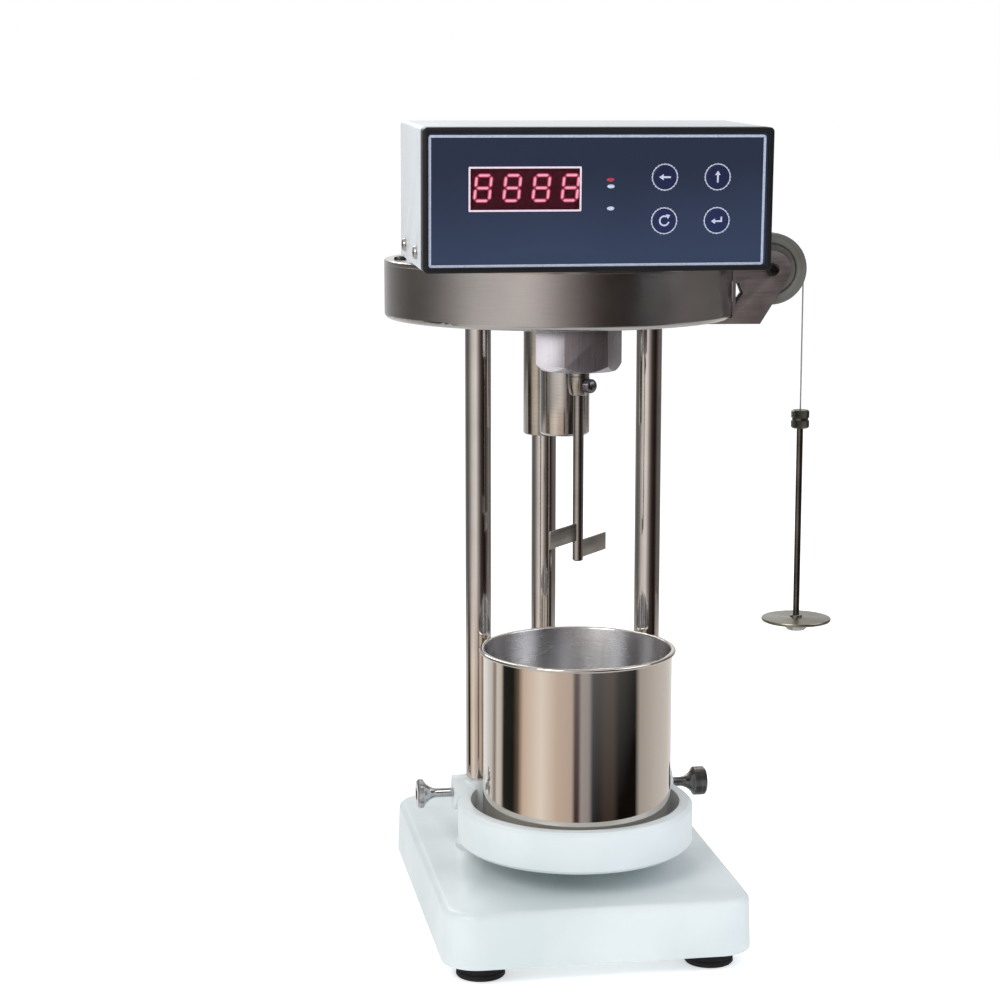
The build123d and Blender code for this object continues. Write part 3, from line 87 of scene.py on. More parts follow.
CORD = cord_heading()
PULLEY_AXIS = Vector((CORD.y, -CORD.x, 0.0))
HANG = PULLEY + CORD * PULLEY_CORD_RADIUS


class Drive(Enum):
    """What a screwdriver or key finds in a screw's head."""

    CROSS = "cross recess"
    SOCKET = "hexagon socket"


class Symbol(Enum):
    """Plain signs on the keys."""

    BACK = "arrow to the left"
    UP = "arrow upwards"
    RETURN = "arrow that turns the corner"
    RESTART = "arrow round a circle"


# Finishes


def linear(code: str, alpha: float = 1.0) -> tuple[float, float, float, float]:
    """Turn an sRGB hex value to a linear colour.

    Args:
        code: The colour as a hash sign and six hex digits.
        alpha: Opacity, passed on unchanged.

    Returns:
        Linear red, green and blue, and the alpha.
    """
    parts = [int(code[i : i + 2], 16) / 255 for i in (1, 3, 5)]
    red, green, blue = (
        p / 12.92 if p <= 0.04045 else ((p + 0.055) / 1.055) ** 2.4 for p in parts
    )
    return (red, green, blue, alpha)


class Shading:
    """Nodes of one material, with the groups that most finishes need."""

    def __init__(self, tree: bpy.types.NodeTree, coordinates: str = "Object") -> None:
        """Start an empty material from a set of coordinates.

        Args:
            tree: The material's node tree, which is cleared.
            coordinates: Name of the coordinates that its patterns follow.
        """
        tree.nodes.clear()
        self.tree = tree
        self.place = self.add("ShaderNodeTexCoord").outputs[coordinates]

    def add(
        self,
        kind: str,
        inputs: dict | None = None,
        stops: Sequence[tuple[float, tuple]] = (),
        **settings,
    ) -> bpy.types.Node:
        """Add one node with its settings, its input values and its links.

        Args:
            kind: The node's type name.
            inputs: Input name or index to a value, or to the output socket that feeds it.
            stops: Places and linear colours of a colour ramp.
            **settings: Other properties of the node.

        Returns:
            The new node.
        """
        node = self.tree.nodes.new(kind)
        for name, value in settings.items():
            setattr(node, name, value)
        for name, value in (inputs or {}).items():
            if isinstance(value, bpy.types.NodeSocket):
                self.tree.links.new(value, node.inputs[name])
            else:
                node.inputs[name].default_value = value
        if stops:
            elements = node.color_ramp.elements
            while len(elements) < len(stops):
                elements.new(0.5)
            for element, (place, _) in zip(elements, stops):
                element.position = place
            for element, (_, colour) in zip(elements, stops):
                element.color = colour
        return node

    def noise(
        self, grain_mm: float, detail: float, place: bpy.types.NodeSocket | None = None
    ) -> bpy.types.NodeSocket:
        """Noise with spots about so many millimetres wide.

        Args:
            grain_mm: Width of a spot.
            detail: How many finer layers lie over it.
            place: Other coordinates than the object's own.

        Returns:
            The noise, around a half.
        """
        at = self.place if place is None else place
        inputs = {"Vector": at, "Scale": 1 / (grain_mm * MM), "Detail": detail}
        return self.add("ShaderNodeTexNoise", inputs).outputs[0]

    def ranged(
        self,
        value: bpy.types.NodeSocket,
        into: tuple[float, float],
        out_of: tuple[float, float] = (0.0, 1.0),
    ) -> bpy.types.NodeSocket:
        """Map a value from one range to another and keep it inside."""
        inputs = {"Value": value, "From Min": out_of[0], "From Max": out_of[1]}
        inputs |= {"To Min": into[0], "To Max": into[1]}
        return self.add("ShaderNodeMapRange", inputs).outputs[0]

    def tint(
        self, value: bpy.types.NodeSocket, *stops: tuple[float, str]
    ) -> bpy.types.NodeSocket:
        """Run through sRGB colours as a value rises."""
        colours = [(place, linear(code)) for place, code in stops]
        return self.add("ShaderNodeValToRGB", {0: value}, stops=colours).outputs[0]

    def weighted(
        self, value: bpy.types.NodeSocket, share: float, other: bpy.types.NodeSocket
    ) -> bpy.types.NodeSocket:
        """Add a share of one value to another."""
        inputs = {0: value, 1: share, 2: other}
        return self.add("ShaderNodeMath", inputs, operation="MULTIPLY_ADD").outputs[0]

    def mixed(
        self,
        share: bpy.types.NodeSocket,
        first: bpy.types.NodeSocket | tuple,
        last: bpy.types.NodeSocket | tuple,
    ) -> bpy.types.NodeSocket:
        """Mix two colours, each a socket or a linear colour, by the share of the last."""
        inputs = {0: share, 6: first, 7: last}
        return self.add("ShaderNodeMix", inputs, data_type="RGBA").outputs[2]

    def bump(
        self, height: bpy.types.NodeSocket, depth_mm: float, strength: float
    ) -> bpy.types.NodeSocket:
        """Tilt the light on small heights that are too fine to model."""
        inputs = {"Height": height, "Strength": strength, "Distance": depth_mm * MM}
        return self.add("ShaderNodeBump", inputs).outputs[0]

    def surface(self, inputs: dict) -> bpy.types.NodeSocket:
        """Close the material with a principled surface."""
        return self.add("ShaderNodeBsdfPrincipled", inputs).outputs[0]


@dataclass(frozen=True)
class Finish:
    """A surface finish, named for what the real material is and how it was made."""

    name: str
    colour: str

    def shader(self, nodes: Shading) -> bpy.types.NodeSocket:
        """Build the finish's own nodes and return the shader output."""
        raise NotImplementedError

    def material(self) -> bpy.types.Material:
        """Make the material once, and give the same one afterwards.

        Returns:
            The finish as a Blender material.
        """
        made = bpy.data.materials.get(self.name)
        if made is None:
            made = bpy.data.materials.new(self.name)
            made.use_nodes = True
            made.diffuse_color = linear(self.colour)
            nodes = Shading(made.node_tree)
            nodes.add("ShaderNodeOutputMaterial", {"Surface": self.shader(nodes)})
        return made


@dataclass(frozen=True)
class SprayedEnamel(Finish):
    """Stoved enamel sprayed on a casting or on folded sheet.

    The spray leaves a fine orange peel that softens the highlights, and the colour clouds a
    little where the coat is thinner.
    """

    shade: str = "#B6C1C3"
    roughness: float = 0.38
    peel_mm: float = 1.6
    peel_depth_mm: float = 0.012
    cloud_mm: float = 60.0

    def shader(self, nodes: Shading) -> bpy.types.NodeSocket:
        """Enamel with clouds of colour and an orange peel."""
        cloud = nodes.noise(self.cloud_mm, 4.0)
        peel = nodes.noise(self.peel_mm, 2.0)
        return nodes.surface(
            {
                "Base Color": nodes.tint(cloud, (0.35, self.shade), (0.6, self.colour)),
                "Roughness": nodes.ranged(cloud, (self.roughness + 0.08, self.roughness)),
                "Normal": nodes.bump(peel, self.peel_depth_mm, 0.6),
                "Coat Weight": 0.15,
                "Coat Roughness": 0.2,
            }
        )


@dataclass(frozen=True)
class TurnedMetal(Finish):
    """Metal finished on a lathe or in a centreless grinder.

    The tool leaves fine rings round the axis, closer than a quarter of a millimetre. They are
    drawn a little coarser, so that they show, and they stretch the highlights along the axis.
    """

    shade: str = "#6E6C6A"
    roughness: tuple[float, float] = (0.18, 0.32)
    stretch: float = 0.0
    ring_mm: float = 0.35
    ring_depth_mm: float = 0.003
    contrast: float = 0.5
    centre: Point = (0.0, 0.0, 0.0)
    axis: Point = (0.0, 0.0, 1.0)
    cloud_mm: float = 22.0

    def shader(self, nodes: Shading) -> bpy.types.NodeSocket:
        """Metal with rings round its own axis."""
        turn = Vector(self.axis).rotation_difference(Vector((0, 0, 1))).to_matrix()
        shift = turn @ (Vector(self.centre) * MM)
        own = nodes.add(
            "ShaderNodeMapping",
            {"Vector": nodes.place, "Location": -shift, "Rotation": turn.to_euler("XYZ")},
        ).outputs[0]
        flat = nodes.add(
            "ShaderNodeVectorMath", {0: own, 1: (1.0, 1.0, 0.0)}, operation="MULTIPLY"
        ).outputs[0]
        radius = nodes.add("ShaderNodeVectorMath", {0: flat}, operation="LENGTH")
        parts = nodes.add("ShaderNodeSeparateXYZ", {0: own}).outputs
        drift = nodes.add("ShaderNodeMath", {0: parts["X"], 1: 0.04}, operation="MULTIPLY")
        rings_at = nodes.add(
            "ShaderNodeCombineXYZ",
            {0: radius.outputs["Value"], 1: drift.outputs[0], 2: parts["Z"]},
        ).outputs[0]
        rings = nodes.noise(self.ring_mm, 3.0, rings_at)
        both = nodes.weighted(rings, self.contrast, nodes.noise(self.cloud_mm, 4.0, own))
        middle = 0.5 + 0.5 * self.contrast
        toned = nodes.ranged(both, (0.0, 1.0), (middle - 0.35, middle + 0.35))
        return nodes.surface(
            {
                "Base Color": nodes.tint(toned, (0.15, self.shade), (0.75, self.colour)),
                "Metallic": 1.0,
                "Roughness": nodes.ranged(both, self.roughness, (middle - 0.3, middle + 0.3)),
                "Anisotropic": self.stretch,
                "Anisotropic Rotation": 0.25,
                "Normal": nodes.bump(rings, self.ring_depth_mm, 0.5),
                "Tangent": nodes.add(
                    "ShaderNodeTangent", direction_type="RADIAL", axis="Z"
                ).outputs[0],
            }
        )


@dataclass(frozen=True)
class GroundMetal(Finish):
    """Metal milled, ground or brushed flat.

    Straight scratches run one way. Each is far finer than a pixel, so bundles of them are drawn,
    long in the direction of the cut and narrow across it.
    """

    shade: str = "#6E6C6A"
    roughness: tuple[float, float] = (0.25, 0.42)
    across_mm: float = 0.5
    along_mm: float = 14.0
    run: Point = (1.0, 0.0, 0.0)
    depth_mm: float = 0.004
    cloud_mm: float = 18.0

    def shader(self, nodes: Shading) -> bpy.types.NodeSocket:
        """Metal with straight scratches along its run."""
        turn = Vector(self.run).rotation_difference(Vector((1, 0, 0))).to_matrix()
        own = nodes.add(
            "ShaderNodeMapping", {"Vector": nodes.place, "Rotation": turn.to_euler("XYZ")}
        ).outputs[0]
        across = self.across_mm / self.along_mm
        long = nodes.add(
            "ShaderNodeMapping", {"Vector": own, "Scale": (across, 1.0, 1.0)}
        ).outputs[0]
        grain = nodes.noise(self.across_mm, 3.0, long)
        both = nodes.weighted(grain, 0.6, nodes.noise(self.cloud_mm, 4.0))
        return nodes.surface(
            {
                "Base Color": nodes.tint(both, (0.55, self.shade), (0.95, self.colour)),
                "Metallic": 1.0,
                "Roughness": nodes.ranged(grain, self.roughness, (0.25, 0.75)),
                "Normal": nodes.bump(grain, self.depth_mm, 0.5),
            }
        )


@dataclass(frozen=True)
class DrawnSteel(Finish):
    """Thin stainless steel drawn to a cup and buffed to a mirror.

    The sheet is never quite true after drawing, so the room behind the camera wavers in it, and
    hands leave it faintly dull in places.
    """

    roughness: tuple[float, float] = (0.035, 0.1)
    wave_mm: float = 38.0
    wave_depth_mm: float = 0.12
    smear_mm: float = 16.0

    def shader(self, nodes: Shading) -> bpy.types.NodeSocket:
        """Mirror steel with a slow wave and dull smears."""
        upright = nodes.add(
            "ShaderNodeMapping", {"Vector": nodes.place, "Scale": (1.0, 1.0, 0.35)}
        ).outputs[0]
        wave = nodes.noise(self.wave_mm, 1.0, upright)
        smear = nodes.noise(self.smear_mm, 6.0)
        return nodes.surface(
            {
                "Base Color": linear(self.colour),
                "Metallic": 1.0,
                "Roughness": nodes.ranged(smear, self.roughness, (0.4, 0.75)),
                "Normal": nodes.bump(wave, self.wave_depth_mm, 0.35),
            }
        )


@dataclass(frozen=True)
class Moulded(Finish):
    """Plastic or rubber from an etched mould.

    The etching gives an even, very fine grain that keeps the gloss low.
    """

    shade: str = "#0C0D10"
    roughness: float = 0.45
    grain_mm: float = 0.5
    grain_depth_mm: float = 0.01
    cloud_mm: float = 30.0

    def shader(self, nodes: Shading) -> bpy.types.NodeSocket:
        """Moulded surface with an etched grain."""
        grain = nodes.noise(self.grain_mm, 2.0)
        cloud = nodes.noise(self.cloud_mm, 3.0)
        dull = (self.roughness - 0.06, self.roughness + 0.06)
        return nodes.surface(
            {
                "Base Color": nodes.tint(cloud, (0.3, self.shade), (0.7, self.colour)),
                "Roughness": nodes.ranged(grain, dull),
                "Normal": nodes.bump(grain, self.grain_depth_mm, 0.4),
            }
        )


@dataclass(frozen=True)
class PrintedFilm(Finish):
    """Polycarbonate film printed from behind.

    Its face is finely textured, so it shows a soft sheen, and its colour clouds a little at random.
    Painted shade makes it lighter towards the lower edge of the panel than at its upper corners.
    """

    shade: str = "#232F49"
    low_mm: float = 315.0
    high_mm: float = 366.0
    texture_mm: float = 0.45
    texture_depth_mm: float = 0.008
    cloud_mm: float = 45.0

    def shader(self, nodes: Shading) -> bpy.types.NodeSocket:
        """Film with painted shade, which darkens its colour slowly from its lower to its upper
        edge.
        """
        height = nodes.add("ShaderNodeSeparateXYZ", {0: nodes.place}).outputs["Z"]
        # painted shade: the colour darkens with height, from low_mm up to high_mm, over the random
        # clouds
        rise = nodes.ranged(height, (0.0, 1.0), (self.low_mm * MM, self.high_mm * MM))
        uneven = nodes.weighted(nodes.noise(self.cloud_mm, 3.0), 0.5, rise)
        texture = nodes.noise(self.texture_mm, 2.0)
        return nodes.surface(
            {
                "Base Color": nodes.tint(uneven, (0.3, self.colour), (1.0, self.shade)),
                "Roughness": 0.42,
                "Specular IOR Level": 0.3,
                "Normal": nodes.bump(texture, self.texture_depth_mm, 0.3),
            }
        )


@dataclass(frozen=True)
class ScreenInk(Finish):
    """Thick ink pulled through a screen, whose mesh leaves the print slightly uneven."""

    shade: str = "#A9AAC0"
    mesh_mm: float = 0.6

    def shader(self, nodes: Shading) -> bpy.types.NodeSocket:
        """Ink with the unevenness of its screen."""
        mesh = nodes.noise(self.mesh_mm, 1.0)
        ink = nodes.tint(mesh, (0.3, self.shade), (0.6, self.colour))
        return nodes.surface({"Base Color": ink, "Roughness": 0.5})


@dataclass(frozen=True)
class LitSegment(Finish):
    """Light bar of a red LED digit: bright in its middle and a deeper red round the edge."""

    strength: float = 0.8
    base: str = "#5A1020"
    cell_mm: float = 1.2

    def shader(self, nodes: Shading) -> bpy.types.NodeSocket:
        """Plastic that glows, with the faint cells of the chips behind it."""
        cells = nodes.noise(self.cell_mm, 1.0)
        return nodes.surface(
            {
                "Base Color": linear(self.base),
                "Roughness": 0.4,
                "Emission Color": linear(self.colour),
                "Emission Strength": nodes.ranged(
                    cells, (self.strength * 0.8, self.strength * 1.2)
                ),
            }
        )


@dataclass(frozen=True)
class TintedAcrylic(Finish):
    """Cast acrylic dyed deep red, clear enough to show the lit digits behind it."""

    opacity: float = 0.3
    wipe_mm: float = 9.0

    def shader(self, nodes: Shading) -> bpy.types.NodeSocket:
        """Dyed acrylic with a soft polish."""
        return nodes.surface(
            {
                "Base Color": linear(self.colour),
                "Roughness": nodes.ranged(nodes.noise(self.wipe_mm, 5.0), (0.2, 0.34)),
                "IOR": 1.49,
                "Specular IOR Level": 0.3,
                "Alpha": self.opacity,
            }
        )


@dataclass(frozen=True)
class BraidedThread(Finish):
    """Braided polyester thread, matt and slightly darker between its yarns."""

    shade: str = "#6B6860"
    yarn_mm: float = 0.25

    def shader(self, nodes: Shading) -> bpy.types.NodeSocket:
        """Thread with its yarns."""
        yarn = nodes.tint(
            nodes.noise(self.yarn_mm, 2.0), (0.35, self.shade), (0.65, self.colour)
        )
        return nodes.surface({"Base Color": yarn, "Roughness": 0.8, "Sheen Weight": 0.3})


@dataclass(frozen=True)
class CircuitLaminate(Finish):
    """Glass-cloth laminate under green solder mask, with paler tracks a millimetre wide."""

    track: str = "#2F7A48"
    track_pitch_mm: float = 6.0

    def shader(self, nodes: Shading) -> bpy.types.NodeSocket:
        """Solder mask over tracks."""
        tracks = nodes.add(
            "ShaderNodeTexVoronoi",
            {"Vector": nodes.place, "Scale": 1 / (self.track_pitch_mm * MM)},
            distance="MANHATTAN",
        ).outputs["Distance"]
        mask = nodes.tint(tracks, (0.3, self.colour), (0.34, self.track))
        return nodes.surface({"Base Color": mask, "Roughness": 0.35, "Coat Weight": 0.4})


@dataclass(frozen=True)
class LitPaper(Finish):
    """White background paper, lit so evenly that it shows hardly any shade."""

    glow: float = 0.46
    tooth_mm: float = 3.0
    tooth_depth_mm: float = 0.05

    def shader(self, nodes: Shading) -> bpy.types.NodeSocket:
        """Paper with a faint tooth."""
        tooth = nodes.noise(self.tooth_mm, 2.0)
        return nodes.surface(
            {
                "Base Color": linear(self.colour),
                "Roughness": 0.9,
                "Specular IOR Level": 0.2,
                "Emission Color": linear(self.colour),
                "Emission Strength": self.glow,
                "Normal": nodes.bump(tooth, self.tooth_depth_mm, 0.2),
            }
        )


CAST_ENAMEL = SprayedEnamel("stoved enamel on cast iron", "#D8DFE0", shade="#CCD5D6")
SHEET_ENAMEL = SprayedEnamel(
    "stoved enamel on folded sheet", "#D6DBDE", shade="#CBD1D5", roughness=0.32, peel_mm=1.0
)
COLUMN_STEEL = TurnedMetal(
    "hard chrome on ground steel bar", "#DCD8D4", shade="#CECAC6", roughness=(0.07, 0.12),
    ring_depth_mm=0.0008, contrast=0.25,
)
DRUM_ALLOY = TurnedMetal(
    "satin turned aluminium", "#C2BFBD", shade="#B3B0AE", roughness=(0.18, 0.25),
    ring_mm=0.5, contrast=0.3, cloud_mm=35.0,
)
SLEEVE_STEEL = TurnedMetal(
    "turned steel tube", "#BDBBB5", shade="#A8A69F", roughness=(0.14, 0.22),
    centre=(*COLUMNS[2], 0.0),
)
TUBE_STEEL = TurnedMetal(
    "polished bearing tube", "#CFCCC8", shade="#B9B6B1", roughness=(0.1, 0.17),
    centre=(*IDLER, 0.0),
)
HEX_STEEL = GroundMetal(
    "milled hexagon steel", "#BFBBC1", shade="#B4B0B7", roughness=(0.26, 0.34),
    run=(0.0, 0.0, 1.0), across_mm=0.6, depth_mm=0.0015,
)
SPINDLE_STEEL = TurnedMetal(
    "turned stainless steel", "#B5B1AB", shade="#96928C", roughness=(0.12, 0.22),
    centre=(*ROTOR, 0.0),
)
BLADE_STEEL = GroundMetal(
    "brushed stainless sheet", "#B4B1AC", shade="#98958F", run=(0.63, 0.777, 0.0),
)
CUP_STEEL = DrawnSteel("buffed stainless steel", "#D8D1CA")
CUP_INSIDE = TurnedMetal(
    "spun stainless steel", "#DCDCDE", shade="#C6C5C6", roughness=(0.22, 0.3), stretch=0.85,
    centre=(*ROTOR, 0.0), contrast=0.35, cloud_mm=30.0,
)
PULLEY_ALLOY = TurnedMetal(
    "turned aluminium wheel", "#A3A5A0", shade="#7F817B", roughness=(0.46, 0.6),
    ring_mm=0.7, centre=tuple(PULLEY), axis=tuple(PULLEY_AXIS), contrast=0.8,
)
BRACKET_ALLOY = GroundMetal(
    "milled aluminium bracket", "#A39A99", shade="#857B7A", run=tuple(CORD), across_mm=0.7,
    roughness=(0.42, 0.56),
)
BRIGHT_STEEL = TurnedMetal(
    "nickel plated steel", "#C9C7C3", shade="#A5A39F", roughness=(0.1, 0.2), ring_mm=0.6,
)
CLAMP_STEEL = TurnedMetal(
    "nickel plated clamp screw", "#D2D3D4", shade="#A9AAAC", roughness=(0.08, 0.16),
    centre=CLAMPS, axis=(1.0, 0.0, 0.0), ring_mm=0.6,
)
BLACKED_CLAMP = TurnedMetal(
    "blacked clamp screw", "#8A8886", shade="#2E2C2B", roughness=(0.08, 0.18),
    centre=CLAMPS, axis=(1.0, 0.0, 0.0), ring_mm=0.6,
)
THUMBSCREW_STEEL = TurnedMetal(
    "darkened thumbscrew steel", "#8F8C91", shade="#5B585D", roughness=(0.16, 0.28),
    centre=(*ROTOR, 256.6), axis=(0.515, -0.857, 0.0), ring_mm=0.6,
)
BLACKED_STEEL = TurnedMetal(
    "blacked steel", "#4A4946", shade="#2B2A28", roughness=(0.25, 0.4), ring_mm=0.6,
)
HANGER_STEEL = TurnedMetal(
    "knurled dark steel", "#6A6A60", shade="#3A3A34", roughness=(0.2, 0.34),
    centre=tuple(HANG), ring_mm=0.5,
)
ROD_STEEL = TurnedMetal(
    "drawn steel rod", "#77726B", shade="#4C4843", roughness=(0.16, 0.26), centre=tuple(HANG),
)
DISC_STEEL = TurnedMetal(
    "turned steel disc", "#9C9A8C", shade="#7F7D70", roughness=(0.22, 0.34),
    centre=tuple(HANG), ring_mm=0.6,
)
BEARING_STEEL = TurnedMetal(
    "ground bearing steel", "#9FA0A2", shade="#7C7D80", roughness=(0.15, 0.25),
)
GEAR_BRASS = TurnedMetal(
    "hobbed brass", "#C9A45A", shade="#A37F3C", roughness=(0.22, 0.36), ring_mm=0.8,
)
BUSH_BRONZE = TurnedMetal(
    "sintered bronze", "#A9814A", shade="#7E5D31", roughness=(0.35, 0.5), ring_mm=0.8,
)
RUBBER = Moulded("moulded rubber", "#1B1B1C", shade="#101011", roughness=0.75, grain_mm=0.8)
BLACK_ABS = Moulded("black moulded ABS", "#14151B", shade="#0D0E13", roughness=0.38)
NYLON = Moulded("moulded nylon", "#D8D4C8", shade="#C6C1B2", roughness=0.55)
BLACK_PHENOLIC = Moulded("black phenolic", "#161514", shade="#0E0D0D", roughness=0.32)
DARK_LENS = Moulded("dark red digit block", "#3A0A18", shade="#2C0712", roughness=0.4)
# both printed films carry painted shade, darker towards their upper edges
PANEL_FILM = PrintedFilm("printed polycarbonate film", "#2B3852", shade="#1F283E")
KEY_FILM = PrintedFilm("printed key film", "#1D2852", shade="#141C3F", texture_mm=0.3)
PALE_INK = ScreenInk("pale screen ink", "#BFC4D8", shade="#A3A9BF")
BORDER_INK = ScreenInk("pale border ink", "#A9B2C4", shade="#939CB0")
WINDOW_INK = ScreenInk("pale pink screen ink", "#E0CDD8", shade="#CBB5C4")
RED_INK = ScreenInk("red indicator lens", "#B02A40", shade="#8E1F33")
LIT_CORE = LitSegment("lit digit core", "#F0AABE", strength=0.95)
LIT_EDGE = LitSegment("lit digit edge", "#CF5478", strength=0.7)
RED_ACRYLIC = TintedAcrylic("dyed acrylic window", "#5A1228")
THREAD = BraidedThread("braided polyester thread", "#A19E94")
LAMINATE = CircuitLaminate("green circuit laminate", "#1F5E35")


# Making pieces


@dataclass(frozen=True)
class Spindle:
    """The line that a turned piece is spun round, given by one point of it and its direction."""

    x: float = 0.0
    y: float = 0.0
    z: float = 0.0
    direction: Point = (0.0, 0.0, 1.0)

    def matrix(self) -> Matrix:
        """Turn the upright at the origin to this line."""
        turn = Vector((0, 0, 1)).rotation_difference(Vector(self.direction)).to_matrix()
        return Matrix.Translation(Vector((self.x, self.y, self.z)) * MM) @ turn.to_4x4()


def verts_in(made: Iterable) -> list[bmesh.types.BMVert]:
    """The vertices among what an operator made."""
    return [item for item in made if isinstance(item, bmesh.types.BMVert)]


def edges_of(verts: Iterable[bmesh.types.BMVert]) -> list[bmesh.types.BMEdge]:
    """The edges that touch any of the vertices, each once."""
    return list({edge for vert in verts for edge in vert.link_edges})


def turned(
    bm: bmesh.types.BMesh,
    outline: Outline,
    spindle: Spindle = Spindle(),
    segments: int = 96,
    closed: bool = True,
) -> list[bmesh.types.BMFace]:
    """Spin an outline all the way round, as on a lathe.

    Args:
        bm: The mesh that it is added to.
        outline: Points of radius and height in millimetres.
        spindle: The line that it is spun round.
        segments: Steps in the full turn.
        closed: Whether the last point joins the first, as for a ring.

    Returns:
        The new faces.
    """
    old = set(bm.verts)
    spots = [bm.verts.new((radius * MM, 0.0, height * MM)) for radius, height in outline]
    pairs = list(zip(spots, spots[1:]))
    if closed:
        pairs.append((spots[-1], spots[0]))
    edges = [
        bm.edges.new(pair)
        for pair in pairs
        if max(abs(pair[0].co.x), abs(pair[1].co.x)) > 1e-9
    ]
    bmesh.ops.spin(
        bm,
        geom=spots + edges,
        cent=(0, 0, 0),
        axis=(0, 0, 1),
        angle=math.tau,
        steps=segments,
        use_merge=True,
    )
    bmesh.ops.remove_doubles(bm, verts=[v for v in bm.verts if v not in old], dist=1e-7)
    new = [v for v in bm.verts if v not in old]
    bmesh.ops.transform(bm, matrix=spindle.matrix(), verts=new)
    return list({face for vert in new for face in vert.link_faces})


def ring_out(
    bm: bmesh.types.BMesh,
    ring: Sequence[bmesh.types.BMEdge],
    place: Callable[[Vector], Vector],
) -> list[bmesh.types.BMEdge]:
    """Extrude a ring of edges and put its new points in place.

    Args:
        bm: The mesh that holds the ring.
        ring: The edges that are extruded.
        place: Gives a new point its place from its old one.

    Returns:
        The edges of the new ring.
    """
    made = bmesh.ops.extrude_edge_only(bm, edges=list(ring))["geom"]
    for vert in verts_in(made):
        vert.co = place(vert.co.copy())
    return [item for item in made if isinstance(item, bmesh.types.BMEdge)]


def knurl(
    bm: bmesh.types.BMesh,
    faces: Iterable[bmesh.types.BMFace],
    spindle: Spindle,
    radius: float,
    height_mm: float,
) -> None:
    """Raise a small pyramid on each face of a turned rim, as a knurling wheel does.

    Args:
        bm: The mesh that holds the faces.
        faces: Faces of the whole turned piece.
        spindle: The line that it was spun round.
        radius: The rim's radius in millimetres: faces that lie on it are knurled.
        height_mm: Height of the pyramids.
    """
    back = spindle.matrix().inverted()
    rim = []
    for face in faces:
        spots = [back @ vert.co for vert in face.verts]
        if all(abs(math.hypot(s.x, s.y) - radius * MM) < 0.02 * MM for s in spots):
            rim.append(face)
    bmesh.ops.poke(bm, faces=rim, offset=height_mm * MM)


def dress(node: str, finish: Finish) -> None:
    """Give a CAD node that stays a finish in all its slots."""
    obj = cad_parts[node]
    if not obj.material_slots:
        obj.data.materials.append(finish.material())
    for slot in obj.material_slots:
        slot.material = finish.material()


def piece(
    name: str,
    bm: bmesh.types.BMesh,
    finishes: Finish | Sequence[Finish],
    body: str | None,
    stands_for: Sequence[str] = (),
    crease: float = 32.0,
) -> bpy.types.Object:
    """Finish a mesh as a piece of the object and let it ride on its body.

    Args:
        name: The piece's name.
        bm: Its mesh, which is used up.
        finishes: One finish, or several in the order of the faces' material numbers.
        body: The body that it rides on, or None for a piece that rides on no body.
        stands_for: CAD nodes that it replaces.
        crease: Edges sharper than this many degrees stay sharp.

    Returns:
        The piece's object.
    """
    bmesh.ops.recalc_face_normals(bm, faces=bm.faces)
    mesh = bpy.data.meshes.new(name)
    bm.to_mesh(mesh)
    bm.free()
    mesh.shade_smooth()
    mesh.set_sharp_from_angle(angle=math.radians(crease))
    for finish in [finishes] if isinstance(finishes, Finish) else finishes:
        mesh.materials.append(finish.material())
    obj = bpy.data.objects.new(name, mesh)
    bpy.context.scene.collection.objects.link(obj)
    if body:
        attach(obj, body)
    if stands_for:
        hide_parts(*stands_for)
    log.info("%s: %d faces on %s", name, len(mesh.polygons), body)
    return obj


def softened(
    node: str,
    name: str,
    finishes: Finish | Sequence[Finish],
    body: str,
    edge_mm: float = 0.3,
    sharper_than: float = 30.0,
    segments: int = 2,
    pick: Callable[[bmesh.types.BMFace], int] | None = None,
) -> bpy.types.Object:
    """Replace a CAD node by a welded copy whose sharp edges are broken.

    Args:
        node: The CAD node.
        name: The new piece's name.
        finishes: One finish, or several in the order that pick gives.
        body: The body that it rides on.
        edge_mm: Width of the broken edges.
        sharper_than: Only edges sharper than this many degrees are broken.
        segments: Steps across a broken edge.
        pick: Gives a face its material number.

    Returns:
        The piece's object.
    """
    bm = bmesh.new()
    bm.from_mesh(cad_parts[node].data)
    bmesh.ops.remove_doubles(bm, verts=bm.verts, dist=1e-6)
    bmesh.ops.dissolve_limit(
        bm, angle_limit=math.radians(0.6), verts=bm.verts, edges=bm.edges
    )
    sharp = [
        edge
        for edge in bm.edges
        if edge.is_manifold and edge.calc_face_angle(0.0) > math.radians(sharper_than)
    ]
    if edge_mm > 0:
        bmesh.ops.bevel(
            bm,
            geom=sharp,
            offset=edge_mm * MM,
            offset_type="OFFSET",
            affect="EDGES",
            segments=segments,
            profile=0.5,
            material=-1,
            clamp_overlap=True,
        )
    for face in bm.faces:
        face.material_index = pick(face) if pick else 0
    return piece(name, bm, finishes, body, stands_for=(node,))


def run_true(obj: bpy.types.Object, spindle: Spindle, radius: float) -> None:
    """Point the normals of a round wall straight out from its axis.

    Args:
        obj: The piece that holds the wall.
        spindle: The line that the wall runs round.
        radius: The wall's radius in millimetres.
    """
    mesh = obj.data
    back = spindle.matrix().inverted()
    ahead = spindle.matrix().to_3x3()
    normals = [Vector((0, 0, 0))] * len(mesh.loops)
    for face in mesh.polygons:
        spots = [back @ mesh.vertices[number].co for number in face.vertices]
        if all(abs(math.hypot(s.x, s.y) - radius * MM) < 0.05 * MM for s in spots):
            for loop, spot in zip(face.loop_indices, spots):
                normals[loop] = (ahead @ Vector((spot.x, spot.y, 0.0))).normalized()
    mesh.normals_split_custom_set(normals)


